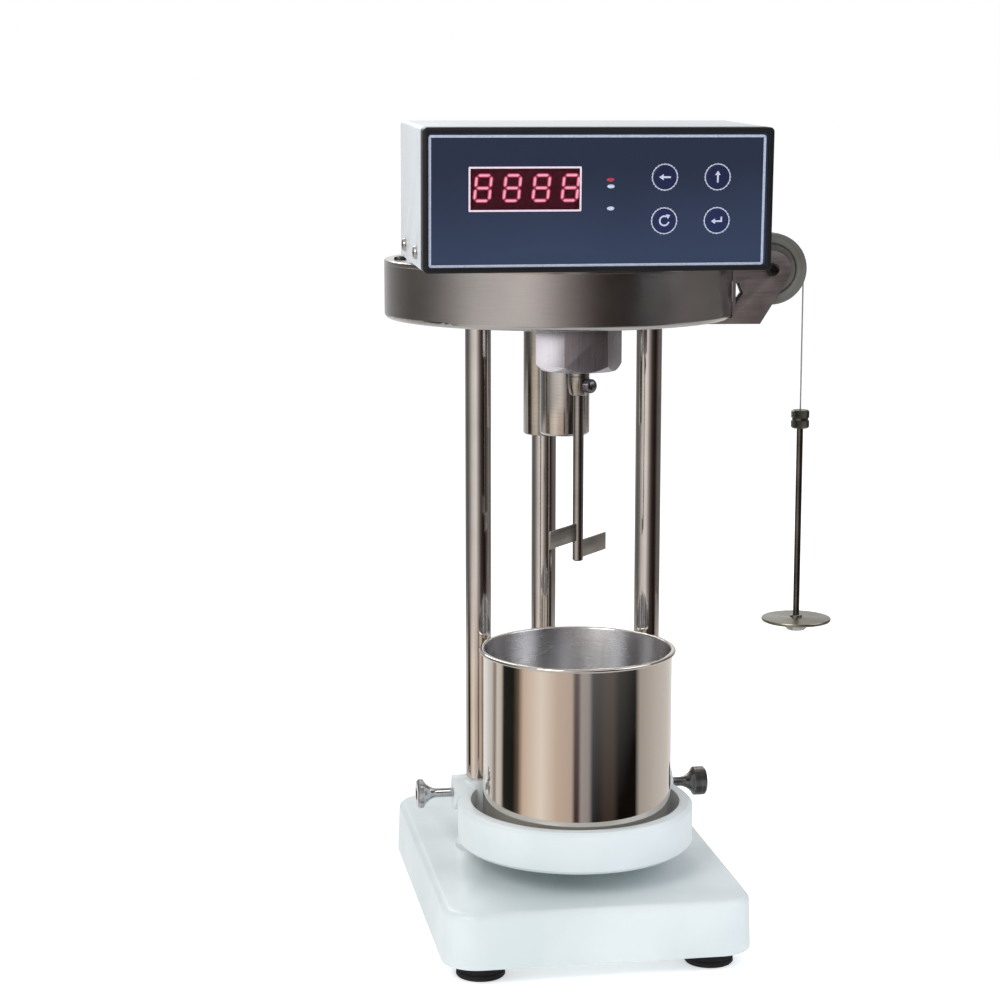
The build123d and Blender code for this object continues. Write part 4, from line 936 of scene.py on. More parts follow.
@dataclass(frozen=True)
class Screw:
    """A screw with its drive cut into its head, in millimetres."""

    drive: Drive
    head_radius: float
    head_height: float
    shank_radius: float
    shank_length: float
    recess: float = 0.9

    def mouth(self) -> list[tuple[float, float]]:
        """Outline of the recess, as 24 points round the middle."""
        if self.drive is Drive.CROSS:
            long, half = self.head_radius * 0.56, self.head_radius * 0.13
            quarter = [
                (long, 0.0),
                (long, half),
                ((long + half) / 2, half),
                (half, half),
                (half, (long + half) / 2),
                (half, long),
            ]
            return [
                (x * c - y * s, x * s + y * c)
                for c, s in ((1, 0), (0, 1), (-1, 0), (0, -1))
                for x, y in quarter
            ]
        corner = self.head_radius * 0.55
        flat = corner * math.cos(math.pi / 6)
        spots = []
        for step in range(24):
            angle = math.tau * step / 24
            past = (angle % (math.pi / 3)) - math.pi / 6
            reach = flat / math.cos(past)
            spots.append((reach * math.cos(angle), reach * math.sin(angle)))
        return spots

    def add(self, bm: bmesh.types.BMesh, seat: Matrix) -> None:
        """Add the screw with its head standing on a seat.

        Args:
            bm: The mesh that it is added to.
            seat: Turns the upright at the origin to the screw's line, in metres.
        """
        old = set(bm.verts)
        radius, height = self.head_radius, self.head_height
        depth = min(self.recess, height * 0.8)
        floor = bmesh.ops.create_circle(bm, cap_ends=True, segments=24, radius=MM)["verts"]
        around = sorted(floor, key=lambda v: math.atan2(v.co.y, v.co.x) % math.tau)
        for vert, (x, y) in zip(around, self.mouth()):
            vert.co = Vector((x, y, height - depth)) * MM
        ring = edges_of(floor)
        ring = ring_out(bm, ring, lambda co: Vector((co.x, co.y, height * MM)))

        def at(reach: float, level: float) -> Callable[[Vector], Vector]:
            def place(co: Vector) -> Vector:
                way = Vector((co.x, co.y, 0.0)).normalized() * reach * MM
                return Vector((way.x, way.y, level * MM))

            return place

        if self.drive is Drive.CROSS:
            steps = [(0.68, 1.0), (0.88, 0.82), (1.0, 0.45), (1.0, 0.0)]
        else:
            steps = [(0.9, 1.0), (1.0, 0.93), (1.0, 0.0)]
        for share, level in steps:
            ring = ring_out(bm, ring, at(radius * share, height * level))
        ring = ring_out(bm, ring, at(self.shank_radius, 0.0))
        ring = ring_out(bm, ring, at(self.shank_radius, 0.6 - self.shank_length))
        ring = ring_out(bm, ring, at(self.shank_radius * 0.75, -self.shank_length))
        bmesh.ops.edgeloop_fill(bm, edges=ring)
        bmesh.ops.transform(
            bm, matrix=seat, verts=[v for v in bm.verts if v not in old]
        )


def seat(spot: Sequence[float], direction: Point = (0.0, 0.0, 1.0)) -> Matrix:
    """Seat of a screw at a place in millimetres, with its head towards a direction."""
    return Spindle(spot[0], spot[1], spot[2], direction).matrix()


def twisted_thread(
    bm: bmesh.types.BMesh,
    route: Callable[[float], tuple[Vector, Vector]],
    length: float,
    side: Vector,
    radius: float = 0.4,
    strands: int = 3,
    lay: float = 2.4,
) -> None:
    """Lay strands round a route, as thread is twisted.

    Args:
        bm: The mesh that it is added to.
        route: Gives the place and the direction at a length along the thread, in millimetres.
        length: The thread's length.
        side: A direction that is square to the route all along.
        radius: Half the thread's thickness.
        strands: How many strands.
        lay: Length of one turn of a strand.
    """
    thick = radius * 0.52
    reach = radius - thick
    count = max(8, int(length / lay * 10))
    for strand in range(strands):
        ring = bmesh.ops.create_circle(bm, cap_ends=True, segments=6, radius=thick * MM)["verts"]
        edges = edges_of(ring)
        rim = [vert.co.copy() for vert in ring]
        numbers = {vert: number for number, vert in enumerate(ring)}
        for step in range(count + 1):
            run = length * step / count
            middle, ahead = route(run)
            other = ahead.cross(side)
            angle = math.tau * (run / lay + strand / strands)
            offset = (side * math.cos(angle) + other * math.sin(angle)) * reach
            spots = [
                (middle + offset) * MM + side * local.x + other * local.y for local in rim
            ]
            if step == 0:
                for vert, number in numbers.items():
                    vert.co = spots[number]
                continue
            made = bmesh.ops.extrude_edge_only(bm, edges=edges)["geom"]
            edges = [item for item in made if isinstance(item, bmesh.types.BMEdge)]
            # extruding keeps each new point where its parent lies, so the nearest parent is its own
            parents = {}
            for vert in verts_in(made):
                parent = min(numbers, key=lambda old: (old.co - vert.co).length_squared)
                parents[vert] = numbers[parent]
            for vert, number in parents.items():
                vert.co = spots[number]
            numbers = parents
        bmesh.ops.edgeloop_fill(bm, edges=edges)


# Sub-assemblies


@dataclass
class Studio:
    """Plain pale floor, soft light and a camera at the photograph's angle."""

    eye: Point = (-201.7, -1064.6, 374.9)
    heading: tuple[float, float] = (0.1616, 0.9869)
    pitch: float = -9.39
    lens: float = 83.3
    floor_size: float = 40000.0
    aim: Point = (0.0, -20.0, 200.0)
    daylight: str = "#D2D4D8"
    ceiling: str = "#E4E5E6"
    ceiling_from: tuple[float, float] = (0.4, 0.8)
    walls_meet: tuple[float, float] = (-13.2, -11.6)
    soft_boxes: tuple = (
        ("key box", (-900, -900, 1100), 700, 9.0, "#FFFDF8"),
        ("fill box", (900, -500, 700), 800, 3.5, "#F6F8FF"),
        ("rear box", (-300, 1100, 1000), 700, 5.0, "#FFFFFF"),
    )
    low_walls: tuple = (
        (-180, "#EFEFF0"), (-150, "#F4F4F4"), (-132, "#DCD8D4"), (-124, "#8C857F"),
        (-118, "#E9E4DF"), (-110, "#D9D2CB"), (-105, "#2A2C28"), (-88, "#20221E"),
        (-80, "#6A5B4C"), (-72, "#E2CDBB"), (-47, "#FFF6EA"), (-26, "#DCC7B6"),
        (-8, "#CDBBB0"), (-4, "#3A2224"), (0, "#4A3335"), (4, "#AFA8A6"),
        (13, "#A29C9C"), (18, "#23262E"), (25, "#15120F"), (34, "#3F332D"),
        (44, "#463A33"), (52, "#100E0D"), (76, "#15120F"), (83, "#B9B3AD"),
        (112, "#D2CDC8"), (145, "#DEDAD6"), (180, "#EFEFF0"),
    )
    level_walls: tuple = (
        (-180, "#F2F2F2"), (-150, "#A5A4A5"), (-130, "#7D7B79"), (-114, "#65625F"),
        (-99, "#6D6A66"), (-86, "#858180"), (-74, "#A5A19F"), (-63, "#C7C3C0"),
        (-52, "#DDD8D5"), (-42, "#E7E1DE"), (-32, "#EFE8E5"), (-23, "#F6F0EC"),
        (-14, "#EDE5E3"), (-5, "#C9C1BD"), (5, "#9D9490"), (14, "#797070"),
        (23, "#544B48"), (32, "#3E3631"), (42, "#302722"), (52, "#241B18"),
        (63, "#281E1B"), (74, "#443C39"), (86, "#605A57"), (99, "#706B69"),
        (114, "#6E6A68"), (134, "#6B6764"), (150, "#A7A2A0"), (180, "#F2F2F2"),
    )

    def camera(self) -> None:
        """Place the camera and make it the scene's own."""
        data = bpy.data.cameras.new("camera")
        data.lens = self.lens
        data.sensor_width = 36.0
        data.clip_end = 100.0
        obj = bpy.data.objects.new("camera", data)
        obj.location = Vector(self.eye) * MM
        turn = -math.atan2(self.heading[0], self.heading[1])
        obj.rotation_euler = (math.radians(90 + self.pitch), 0.0, turn)
        bpy.context.scene.collection.objects.link(obj)
        bpy.context.scene.camera = obj

    def floor(self) -> None:
        """A wide pale floor that the feet stand on."""
        bm = bmesh.new()
        bmesh.ops.create_circle(
            bm, cap_ends=True, segments=64, radius=self.floor_size / 2 * MM
        )
        mesh = bpy.data.meshes.new("floor")
        bm.to_mesh(mesh)
        bm.free()
        mesh.materials.append(LitPaper("white paper floor", "#F6F7F8").material())
        obj = bpy.data.objects.new("floor", mesh)
        obj.visible_glossy = False
        bpy.context.scene.collection.objects.link(obj)

    def lamp(
        self, name: str, spot: Point, size: float, watts: float, colour: str
    ) -> bpy.types.Object:
        """A square soft box that faces the middle of the object.

        Args:
            name: The lamp's name.
            spot: Its place in millimetres.
            size: Its side in millimetres.
            watts: Its power.
            colour: Its colour as a hex value.

        Returns:
            The lamp's object.
        """
        data = bpy.data.lights.new(name, "AREA")
        data.shape = "SQUARE"
        data.size = size * MM
        data.energy = watts
        data.color = linear(colour)[:3]
        obj = bpy.data.objects.new(name, data)
        obj.location = Vector(spot) * MM
        aim = Vector(self.aim) - Vector(spot)
        obj.rotation_euler = aim.to_track_quat("-Z", "Y").to_euler()
        bpy.context.scene.collection.objects.link(obj)
        return obj

    def surroundings(self) -> None:
        """White all round for the eye, and a room with light and dark walls for the metal.

        The metal in the photograph mirrors a room. What mirrors it steeply from above, as the cup
        does, shows cream in front to the left and nearly black to the right. The columns and the
        drum mirror it more level, where the light wall is whiter. The walls run round from straight
        behind the camera, in degrees, and the two kinds meet a little below the horizon.
        """
        world = bpy.data.worlds.new("studio")
        bpy.context.scene.world = world
        world.use_nodes = True
        nodes = Shading(world.node_tree, "Generated")
        facing = math.atan2(-self.heading[1], -self.heading[0])
        own = nodes.add(
            "ShaderNodeMapping", {"Vector": nodes.place, "Rotation": (0.0, 0.0, -facing)}
        ).outputs[0]
        parts = nodes.add("ShaderNodeSeparateXYZ", {0: own}).outputs
        bearing = nodes.add(
            "ShaderNodeMath", {0: parts["Y"], 1: parts["X"]}, operation="ARCTAN2"
        ).outputs[0]
        share = nodes.ranged(bearing, (0.0, 1.0), (-math.pi, math.pi))
        low, level = (
            nodes.tint(share, *[((angle + 180) / 360, code) for angle, code in walls])
            for walls in (self.low_walls, self.level_walls)
        )
        bounds = tuple(math.sin(math.radians(angle)) for angle in self.walls_meet)
        room = nodes.mixed(nodes.ranged(parts["Z"], (0.0, 1.0), bounds), low, level)
        lift = nodes.add("ShaderNodeMath", {0: parts["Z"]}, operation="ABSOLUTE").outputs[0]
        high = nodes.ranged(lift, (0.0, 1.0), self.ceiling_from)
        ceiling = nodes.mixed(high, room, linear(self.ceiling))
        ray = nodes.add("ShaderNodeLightPath").outputs
        soft = nodes.mixed(ray["Is Camera Ray"], linear(self.daylight), (1.0, 1.0, 1.0, 1.0))
        seen = nodes.mixed(ray["Is Glossy Ray"], soft, ceiling)
        glow = nodes.add("ShaderNodeBackground", {"Color": seen, "Strength": 1.0})
        nodes.add("ShaderNodeOutputWorld", {"Surface": glow.outputs[0]})

    def build(self) -> None:
        """Camera first, then the floor and the light."""
        self.camera()
        self.floor()
        self.surroundings()
        for box in self.soft_boxes:
            self.lamp(*box)
        bpy.context.scene.view_settings.view_transform = "Standard"


@dataclass
class Stand:
    """Base casting on rubber feet, with its three columns and the rear sleeve."""

    foot_spots: tuple = tuple((x, y) for x in (-52.0, 52.0) for y in (-97.0, 57.0))
    column_radius: float = 6.0
    column_bottom: float = 31.0
    thread_radius: float = 3.02
    thread_depth: float = 16.0
    sleeve_radius: float = 10.0
    sleeve_length: float = 60.0

    def feet(self) -> None:
        """Four grooved feet, hollow below for their screws."""
        outline = [
            (2.05, 4.0), (4.5, 4.0), (4.5, 0.4), (4.9, 0.0), (10.5, 0.0), (11.0, 0.6),
            (10.85, 2.2), (10.45, 2.5), (10.4, 3.1), (10.75, 3.4), (10.6, 5.0), (10.2, 5.3),
            (10.15, 5.9), (10.5, 6.2), (10.3, 7.6), (10.0, 8.0), (2.05, 8.0),
        ]
        bm = bmesh.new()
        for x, y in self.foot_spots:
            turned(bm, outline, Spindle(x, y), segments=48)
        piece("grooved_feet", bm, RUBBER, "stand", ("rubber_feet",))

    def column_outline(self) -> list[tuple[float, float]]:
        """Half section of a column, bored and chamfered at both ends."""
        radius, bore = self.column_radius, self.thread_radius
        low, high = self.column_bottom, HEAD_Z
        return [
            (bore, low), (radius - 0.5, low), (radius, low + 0.5), (radius, high - 0.5),
            (radius - 0.5, high), (bore, high), (bore, high - self.thread_depth),
            (0.0, high - self.thread_depth), (0.0, low + self.thread_depth),
            (bore, low + self.thread_depth),
        ]

    def columns(self) -> None:
        """The front pair and the rear column."""
        bm = bmesh.new()
        for x, y in COLUMNS[:2]:
            turned(bm, self.column_outline(), Spindle(x, y), segments=72)
        piece("front_column_pair", bm, COLUMN_STEEL, "stand", ("front_columns",))
        bm = bmesh.new()
        turned(bm, self.column_outline(), Spindle(*COLUMNS[2]), segments=72)
        piece("rear_column_bar", bm, COLUMN_STEEL, "stand", ("rear_column",))

    def sleeve(self) -> None:
        """Tube round the upper end of the rear column."""
        radius, bore = self.sleeve_radius, self.column_radius + 0.02
        low = HEAD_Z - self.sleeve_length
        outline = [
            (bore, low), (bore + 0.4, low), (radius - 0.9, low), (radius - 0.25, low + 0.3),
            (radius, low + 0.9), (radius, HEAD_Z), (bore, HEAD_Z),
        ]
        bm = bmesh.new()
        turned(bm, outline, Spindle(*COLUMNS[2]), segments=96)
        piece("rear_sleeve_tube", bm, SLEEVE_STEEL, "stand", ("rear_column_sleeve",))

    def screws(self) -> None:
        """Socket screws that hold the columns from both ends."""
        bm = bmesh.new()
        low = Screw(Drive.SOCKET, 5.0, 4.0, 3.0, 27.0, recess=2.4)
        high = Screw(Drive.SOCKET, 5.0, 4.0, 3.0, 18.0, recess=2.4)
        for x, y in COLUMNS:
            low.add(bm, seat((x, y, 18.0), (0.0, 0.0, -1.0)))
            high.add(bm, seat((x, y, HEAD_FLOOR)))
        piece("column_socket_screws", bm, BLACKED_STEEL, "stand", ("column_screws",))

    def build(self) -> None:
        """Base, feet, columns and sleeve."""
        softened("base_casting", "base_in_enamel", CAST_ENAMEL, "stand", edge_mm=0.8)
        self.feet()
        self.columns()
        self.sleeve()
        self.screws()


@dataclass
class Head:
    """Round head drum with its lid, and the screws in and under it."""

    drum_radius: float = 81.0
    lid_screw_ring: float = 74.0
    lid_screw_angles: tuple = (0, 60, 120, 180, 240, 300)
    screws_under_box: float = -20.0
    bracket_screws: tuple[float, float] = (27.0, 4.0)
    pillar_spots: tuple = ((-32.0, -45.0), (-32.0, 20.0), (32.0, -45.0), (32.0, 20.0))

    def small_screws(self) -> None:
        """Cross recess screws in the lid and from below into the bridge."""
        bm = bmesh.new()
        full = Screw(Drive.CROSS, 2.9, 1.6, 1.5, 10.0)
        thin = Screw(Drive.CROSS, 2.9, 0.4, 1.5, 10.0, recess=0.3)
        under = Screw(Drive.CROSS, 2.9, 1.6, 1.5, 13.0)
        for angle in self.lid_screw_angles:
            x = self.lid_screw_ring * math.cos(math.radians(angle))
            y = self.lid_screw_ring * math.sin(math.radians(angle))
            (thin if y < self.screws_under_box else full).add(bm, seat((x, y, LID_TOP)))
        for x, y in self.pillar_spots:
            under.add(bm, seat((x, y, HEAD_Z), (0.0, 0.0, -1.0)))
        piece("lid_and_bridge_screws", bm, BLACKED_STEEL, "stand", ("m3_screws",))

    def socket_screws(self) -> None:
        """Socket screws of the pulley bracket and the feet."""
        bm = bmesh.new()
        bracket = Screw(Drive.SOCKET, 3.5, 2.2, 2.0, 6.5, recess=1.5)
        foot = Screw(Drive.SOCKET, 3.5, 2.2, 2.0, 14.0, recess=1.5)
        behind, apart = self.bracket_screws
        for side in (-apart, apart):
            spot = PULLEY - CORD * behind + PULLEY_AXIS * side
            bracket.add(bm, seat((spot.x, spot.y, HEAD_FLOOR)))
        for x, y in Stand().foot_spots:
            foot.add(bm, seat((x, y, 4.0), (0.0, 0.0, -1.0)))
        piece("bracket_and_foot_screws", bm, BLACKED_STEEL, "stand", ("m4_screws",))

    def build(self) -> None:
        """Drum, lid and screws."""
        drum = softened("head_shell", "drum_shell", DRUM_ALLOY, "stand", edge_mm=0.25)
        run_true(drum, Spindle(), self.drum_radius)
        softened("head_lid", "drum_lid", DRUM_ALLOY, "stand", edge_mm=0.2)
        self.small_screws()
        self.socket_screws()


@dataclass
class Rotor:
    """Hexagonal bearing block, idler tube, chuck and paddle."""

    chuck_top: float = 262.9
    chuck_length: float = 10.9
    chuck_radius: float = 4.8
    shaft_radius: float = 2.4
    paddle_bottom: float = 176.3
    paddle_top: float = 260.5
    blade_angle: float = 51.0
    blade_span: float = 54.0
    blade_height: float = 8.0
    screw_angle: float = -59.0
    screw_level: float = 256.6
    screw_radius: float = 3.2
    side_card: tuple = ("side card", (-563.0, 157.0, 218.0), 300.0, 0.5, "#FFFFFF")

    def chuck(self) -> None:
        """Chuck with a turned line round it and a tapered nose."""
        low, high = self.chuck_top - self.chuck_length, self.chuck_top
        radius, bore = self.chuck_radius, self.shaft_radius + 0.05
        line = low + 8.6
        outline = [
            (bore, low), (3.5, low), (3.9, low + 0.3), (radius, low + 3.6),
            (radius, line - 0.3), (radius - 0.25, line - 0.1), (radius - 0.25, line + 0.1),
            (radius, line + 0.3), (radius, high - 0.5), (radius - 0.5, high), (0.0, high),
            (0.0, self.paddle_top + 0.5), (bore, self.paddle_top + 0.5),
        ]
        bm = bmesh.new()
        turned(bm, outline, Spindle(*ROTOR), segments=72)
        piece("paddle_chuck", bm, SPINDLE_STEEL, "rotor", ("chuck",))

    def thumbscrew(self) -> None:
        """Small knurled thumbscrew that grips the paddle's shaft."""
        angle = math.radians(self.screw_angle)
        way = (math.cos(angle), math.sin(angle), 0.0)
        line = Spindle(*ROTOR, self.screw_level, way)
        start = self.shaft_radius + 0.05
        rim = [(self.screw_radius, 6.1 + 0.46 * step) for step in range(6)]
        outline = [
            (0.0, start), (1.2, start), (1.5, start + 0.3), (1.5, 5.6), (2.7, 5.6), (3.0, 5.8),
            *rim, (3.0, 8.8), (2.4, 9.35), (1.4, 9.6), (0.0, 9.6),
        ]
        bm = bmesh.new()
        faces = turned(bm, outline, line, segments=40, closed=False)
        knurl(bm, faces, line, self.screw_radius, 0.14)
        piece("chuck_thumb_screw", bm, THUMBSCREW_STEEL, "chuck_thumbscrew", ("chuck_screw",))

    def paddle(self) -> None:
        """Shaft and two offset blades, one above and one below."""
        bm = bmesh.new()
        radius, low, high = self.shaft_radius, self.paddle_bottom, self.paddle_top
        shaft = turned(
            bm,
            [(0.0, low), (radius - 0.5, low), (radius, low + 0.5), (radius, high - 0.5),
             (radius - 0.5, high), (0.0, high)],
            Spindle(*ROTOR),
            segments=48,
            closed=False,
        )
        for face in shaft:
            face.material_index = 0
        turn = Matrix.Rotation(math.radians(self.blade_angle), 4, "Z")
        half = self.blade_span / 2
        for side, level in ((1, low + 1.0), (-1, low + 1.4 + self.blade_height)):
            blade = bmesh.ops.create_cube(bm, size=1.0)["verts"]
            size = Matrix.Diagonal((half * MM, 1.0 * MM, self.blade_height * MM, 1.0))
            middle = Vector((side * half / 2, 0.0, 0.0)) * MM
            bmesh.ops.transform(bm, matrix=turn @ Matrix.Translation(middle) @ size, verts=blade)
            lift = Vector((ROTOR[0], ROTOR[1], level + self.blade_height / 2)) * MM
            bmesh.ops.translate(bm, vec=lift, verts=blade)
            edges = edges_of(blade)
            made = bmesh.ops.bevel(
                bm, geom=edges, offset=0.18 * MM, offset_type="OFFSET", affect="EDGES",
                segments=2, profile=0.5, material=-1,
            )
            near = {f for v in made["verts"] for f in v.link_faces}
            for face in near:
                face.material_index = 1
        piece("stirring_paddle_steel", bm, (SPINDLE_STEEL, BLADE_STEEL), "stirring_paddle",
              ("paddle",))

    def build(self) -> None:
        """Everything that shows below the head in the middle.

        A card to the left lights the hexagon's left flat, and nothing else.
        """
        block = softened("spindle_housing", "hexagon_block", HEX_STEEL, "stand", edge_mm=0.35)
        lit = bpy.data.collections.new("lit by the side card")
        lit.objects.link(block)
        card = Studio().lamp(*self.side_card)
        card.light_linking.receiver_collection = lit
        softened("idler_housing", "idler_tube", TUBE_STEEL, "stand", edge_mm=0.25)
        self.chuck()
        self.thumbscrew()
        self.paddle()


@dataclass
class CordDrive:
    """Spool with its winding knob, pulley in its bracket, and the cord between them."""

    turns: int = 7
    thickness: float = 0.8
    pulley_radius: float = 16.7
    half_width: float = 3.5
    axle_radius: float = 2.05
    cheek_outside: float = 7.0
    feed_lead: float = 5.63
    hanging_run: float = 66.5
    coil_steps: int = 56

    def pulley(self) -> None:
        """Turned wheel with a cord groove, a sunk web and a hub."""
        rim, half, bore = self.pulley_radius, self.half_width, self.axle_radius
        groove = PULLEY_CORD_RADIUS - 0.45
        side = [
            (bore, -half), (4.7, -half), (5.0, -half + 0.3), (5.9, -half + 1.4),
            (6.3, -half + 1.5), (10.9, -half + 1.5), (11.4, -half + 1.35), (12.1, -half + 0.55),
            (12.5, -half + 0.4), (rim - 0.3, -half + 0.4), (rim, -half + 0.7), (rim, -1.95),
            (rim - 0.15, -1.8), (groove + 0.4, -0.65), (groove + 0.05, -0.35), (groove, 0.0),
        ]
        outline = side + [(radius, -level) for radius, level in side[-2::-1]]
        bm = bmesh.new()
        line = Spindle(PULLEY.x, PULLEY.y, PULLEY.z, tuple(PULLEY_AXIS))
        turned(bm, outline, line, segments=96)
        piece("cord_wheel", bm, PULLEY_ALLOY, "cord_pulley", ("pulley",))

    def axle(self) -> None:
        """Axle screw with a slotted head, and its nut on the far cheek."""
        bm = bmesh.new()
        out = self.cheek_outside
        head = PULLEY + PULLEY_AXIS * out
        screw = Screw(Drive.CROSS, 3.0, 1.8, 1.98, 2 * out + 4.0, recess=1.0)
        screw.add(bm, seat(head, tuple(PULLEY_AXIS)))
        far = PULLEY - PULLEY_AXIS * out
        line = Spindle(far.x, far.y, far.z, tuple(-PULLEY_AXIS))
        nut = [(2.0, 0.0), (4.2, 0.0), (4.2, 2.6), (3.9, 3.0), (2.5, 3.0), (2.0, 2.6)]
        turned(bm, nut, line, segments=6)
        piece("axle_screw_and_nut", bm, BLACKED_STEEL, "stand", ("pulley_axle",))

    def coil(self) -> None:
        """Turns of cord side by side on the spool."""
        steps = self.coil_steps
        bm = bmesh.new()
        ring = bmesh.ops.create_circle(
            bm, cap_ends=True, segments=8, radius=self.thickness / 2 * MM
        )["verts"]
        stand_up = Matrix.Rotation(math.pi / 2, 4, "X")
        start = Matrix.Translation(
            Vector((SPOOL_CORD_RADIUS, 0.0, -(self.turns * self.thickness) / 2)) * MM
        )
        bmesh.ops.transform(bm, matrix=start @ stand_up, verts=ring)
        turns = self.turns - 1
        bmesh.ops.translate(bm, vec=(0, 0, self.thickness / 2 * MM), verts=ring)
        bmesh.ops.spin(
            bm,
            geom=bm.verts[:] + bm.edges[:] + bm.faces[:],
            cent=(0, 0, 0),
            axis=(0, 0, 1),
            dvec=(0, 0, self.thickness * MM / steps),
            angle=math.tau * turns,
            steps=steps * turns,
        )
        turn = math.atan2(PULLEY_AXIS.y, PULLEY_AXIS.x)
        place = Matrix.Translation(Vector((*SPOOL, CORD_LEVEL)) * MM)
        bmesh.ops.transform(
            bm, matrix=place @ Matrix.Rotation(turn, 4, "Z"), verts=bm.verts
        )
        piece("cord_turns", bm, THREAD, "winding_spool", ("spool_cord",))

    def feed(self) -> None:
        """Level run to the pulley and the quarter turn over it."""
        leave = Vector((*SPOOL, CORD_LEVEL)) + PULLEY_AXIS * SPOOL_CORD_RADIUS
        start = leave + CORD * self.feed_lead
        top = PULLEY + Vector((0, 0, PULLEY_CORD_RADIUS))
        level_run = (top - start).length
        bend = math.pi / 2 * PULLEY_CORD_RADIUS

        def route(run: float) -> tuple[Vector, Vector]:
            if run <= level_run:
                return start + CORD * run, CORD
            angle = (run - level_run) / PULLEY_CORD_RADIUS
            out = CORD * math.sin(angle) + Vector((0, 0, math.cos(angle)))
            ahead = CORD * math.cos(angle) - Vector((0, 0, math.sin(angle)))
            return PULLEY + out * PULLEY_CORD_RADIUS, ahead

        bm = bmesh.new()
        twisted_thread(bm, route, level_run + bend, PULLEY_AXIS, self.thickness / 2)
        piece("feed_thread", bm, THREAD, "stand", ("feed_cord",))

    def hanging(self) -> None:
        """Upright run from the pulley to the hanger's nut, which the falling weight draws out."""
        down = Vector((0, 0, -1))

        def route(run: float) -> tuple[Vector, Vector]:
            return HANG + down * run, down

        bm = bmesh.new()
        twisted_thread(bm, route, self.hanging_run, PULLEY_AXIS, self.thickness / 2)
        thread = piece("hanging_thread", bm, THREAD, None, ("hanging_cord",))
        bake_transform(thread)

    def build(self) -> None:
        """Bracket, pulley, spool, knob and cord."""
        softened("pulley_bracket", "pulley_fork", BRACKET_ALLOY, "stand", edge_mm=0.4)
        self.pulley()
        self.axle()
        softened("spool", "spool_body", DRUM_ALLOY, "winding_spool", edge_mm=0.15)
        softened("winding_knob", "fluted_knob", BLACK_PHENOLIC, "winding_spool", edge_mm=0.3)
        self.coil()
        self.feed()
        self.hanging()


@dataclass
class WeightHanger:
    """Knurled nut, rod and weight disc on the end of the cord."""

    nut_top: float = 238.8
    nut_bottom: float = 230.2
    nut_radius: float = 4.25
    rod_radius: float = 1.5
    rod_bottom: float = 138.2
    disc_radius: float = 16.5
    disc_base: float = 137.2
    disc_top: float = 138.8
    knurl_step: float = 0.42
    thread_radius: float = 1.52
    thread_depth: float = 5.0

    def line(self) -> Spindle:
        """The line that the hanger hangs on."""
        return Spindle(HANG.x, HANG.y)

    def nut(self) -> None:
        """Nut with two knurled bands and a groove between them."""
        low, high, radius = self.nut_bottom, self.nut_top, self.nut_radius
        bore, depth = self.thread_radius, self.thread_depth
        lower = [(radius, low + 0.6 + self.knurl_step * step) for step in range(8)]
        upper = [(radius, high - 0.6 - self.knurl_step * step) for step in range(8)][::-1]
        outline = [
            (bore, low), (radius - 0.6, low), *lower, (radius - 0.45, low + 3.75),
            (radius - 0.45, high - 3.75), *upper, (radius - 0.6, high), (0.9, high),
            (0.0, high), (0.0, low + depth), (bore, low + depth),
        ]
        bm = bmesh.new()
        faces = turned(bm, outline, self.line(), segments=60)
        knurl(bm, faces, self.line(), radius, 0.16)
        piece("knurled_nut", bm, HANGER_STEEL, "weight_hanger", ("hanger_nut",))

    def rod(self) -> None:
        """Straight rod from the nut to the disc."""
        bm = bmesh.new()
        low, radius = self.rod_bottom, self.rod_radius
        high = self.nut_bottom + self.thread_depth
        outline = [
            (0.0, low), (radius, low), (radius, high - 0.3), (radius - 0.3, high), (0.0, high)
        ]
        turned(bm, outline, self.line(), segments=40, closed=False)
        piece("hanger_rod_bar", bm, ROD_STEEL, "weight_hanger", ("hanger_rod",))

    def disc(self) -> None:
        """Thin disc for slotted weights, with a bright boss below and a collar above."""
        base, top, radius = self.disc_base, self.disc_top, self.disc_radius
        boss, bore = base - 4.5, self.thread_radius
        outline = [
            (0.0, boss), (3.0, boss), (4.4, boss + 0.35), (5.3, boss + 1.5), (5.5, boss + 2.8),
            (5.5, base - 0.35), (5.9, base), (radius - 0.7, base), (radius - 0.2, base + 0.2),
            (radius, base + 0.6), (radius, top - 0.5), (radius - 0.2, top - 0.12),
            (radius - 0.6, top), (3.3, top), (2.9, top + 0.2), (2.8, top + 1.2),
            (2.6, top + 1.4), (bore, top + 1.4), (bore, self.rod_bottom), (0.0, self.rod_bottom),
        ]
        bm = bmesh.new()
        faces = turned(bm, outline, self.line(), segments=96, closed=False)
        for face in faces:
            if face.calc_center_median().z < (base - 0.1) * MM:
                face.material_index = 1
        piece("weight_disc", bm, (DISC_STEEL, BRIGHT_STEEL), "weight_hanger", ("hanger_disc",))

    def build(self) -> None:
        """Nut, rod and disc."""
        self.nut()
        self.rod()
        self.disc()


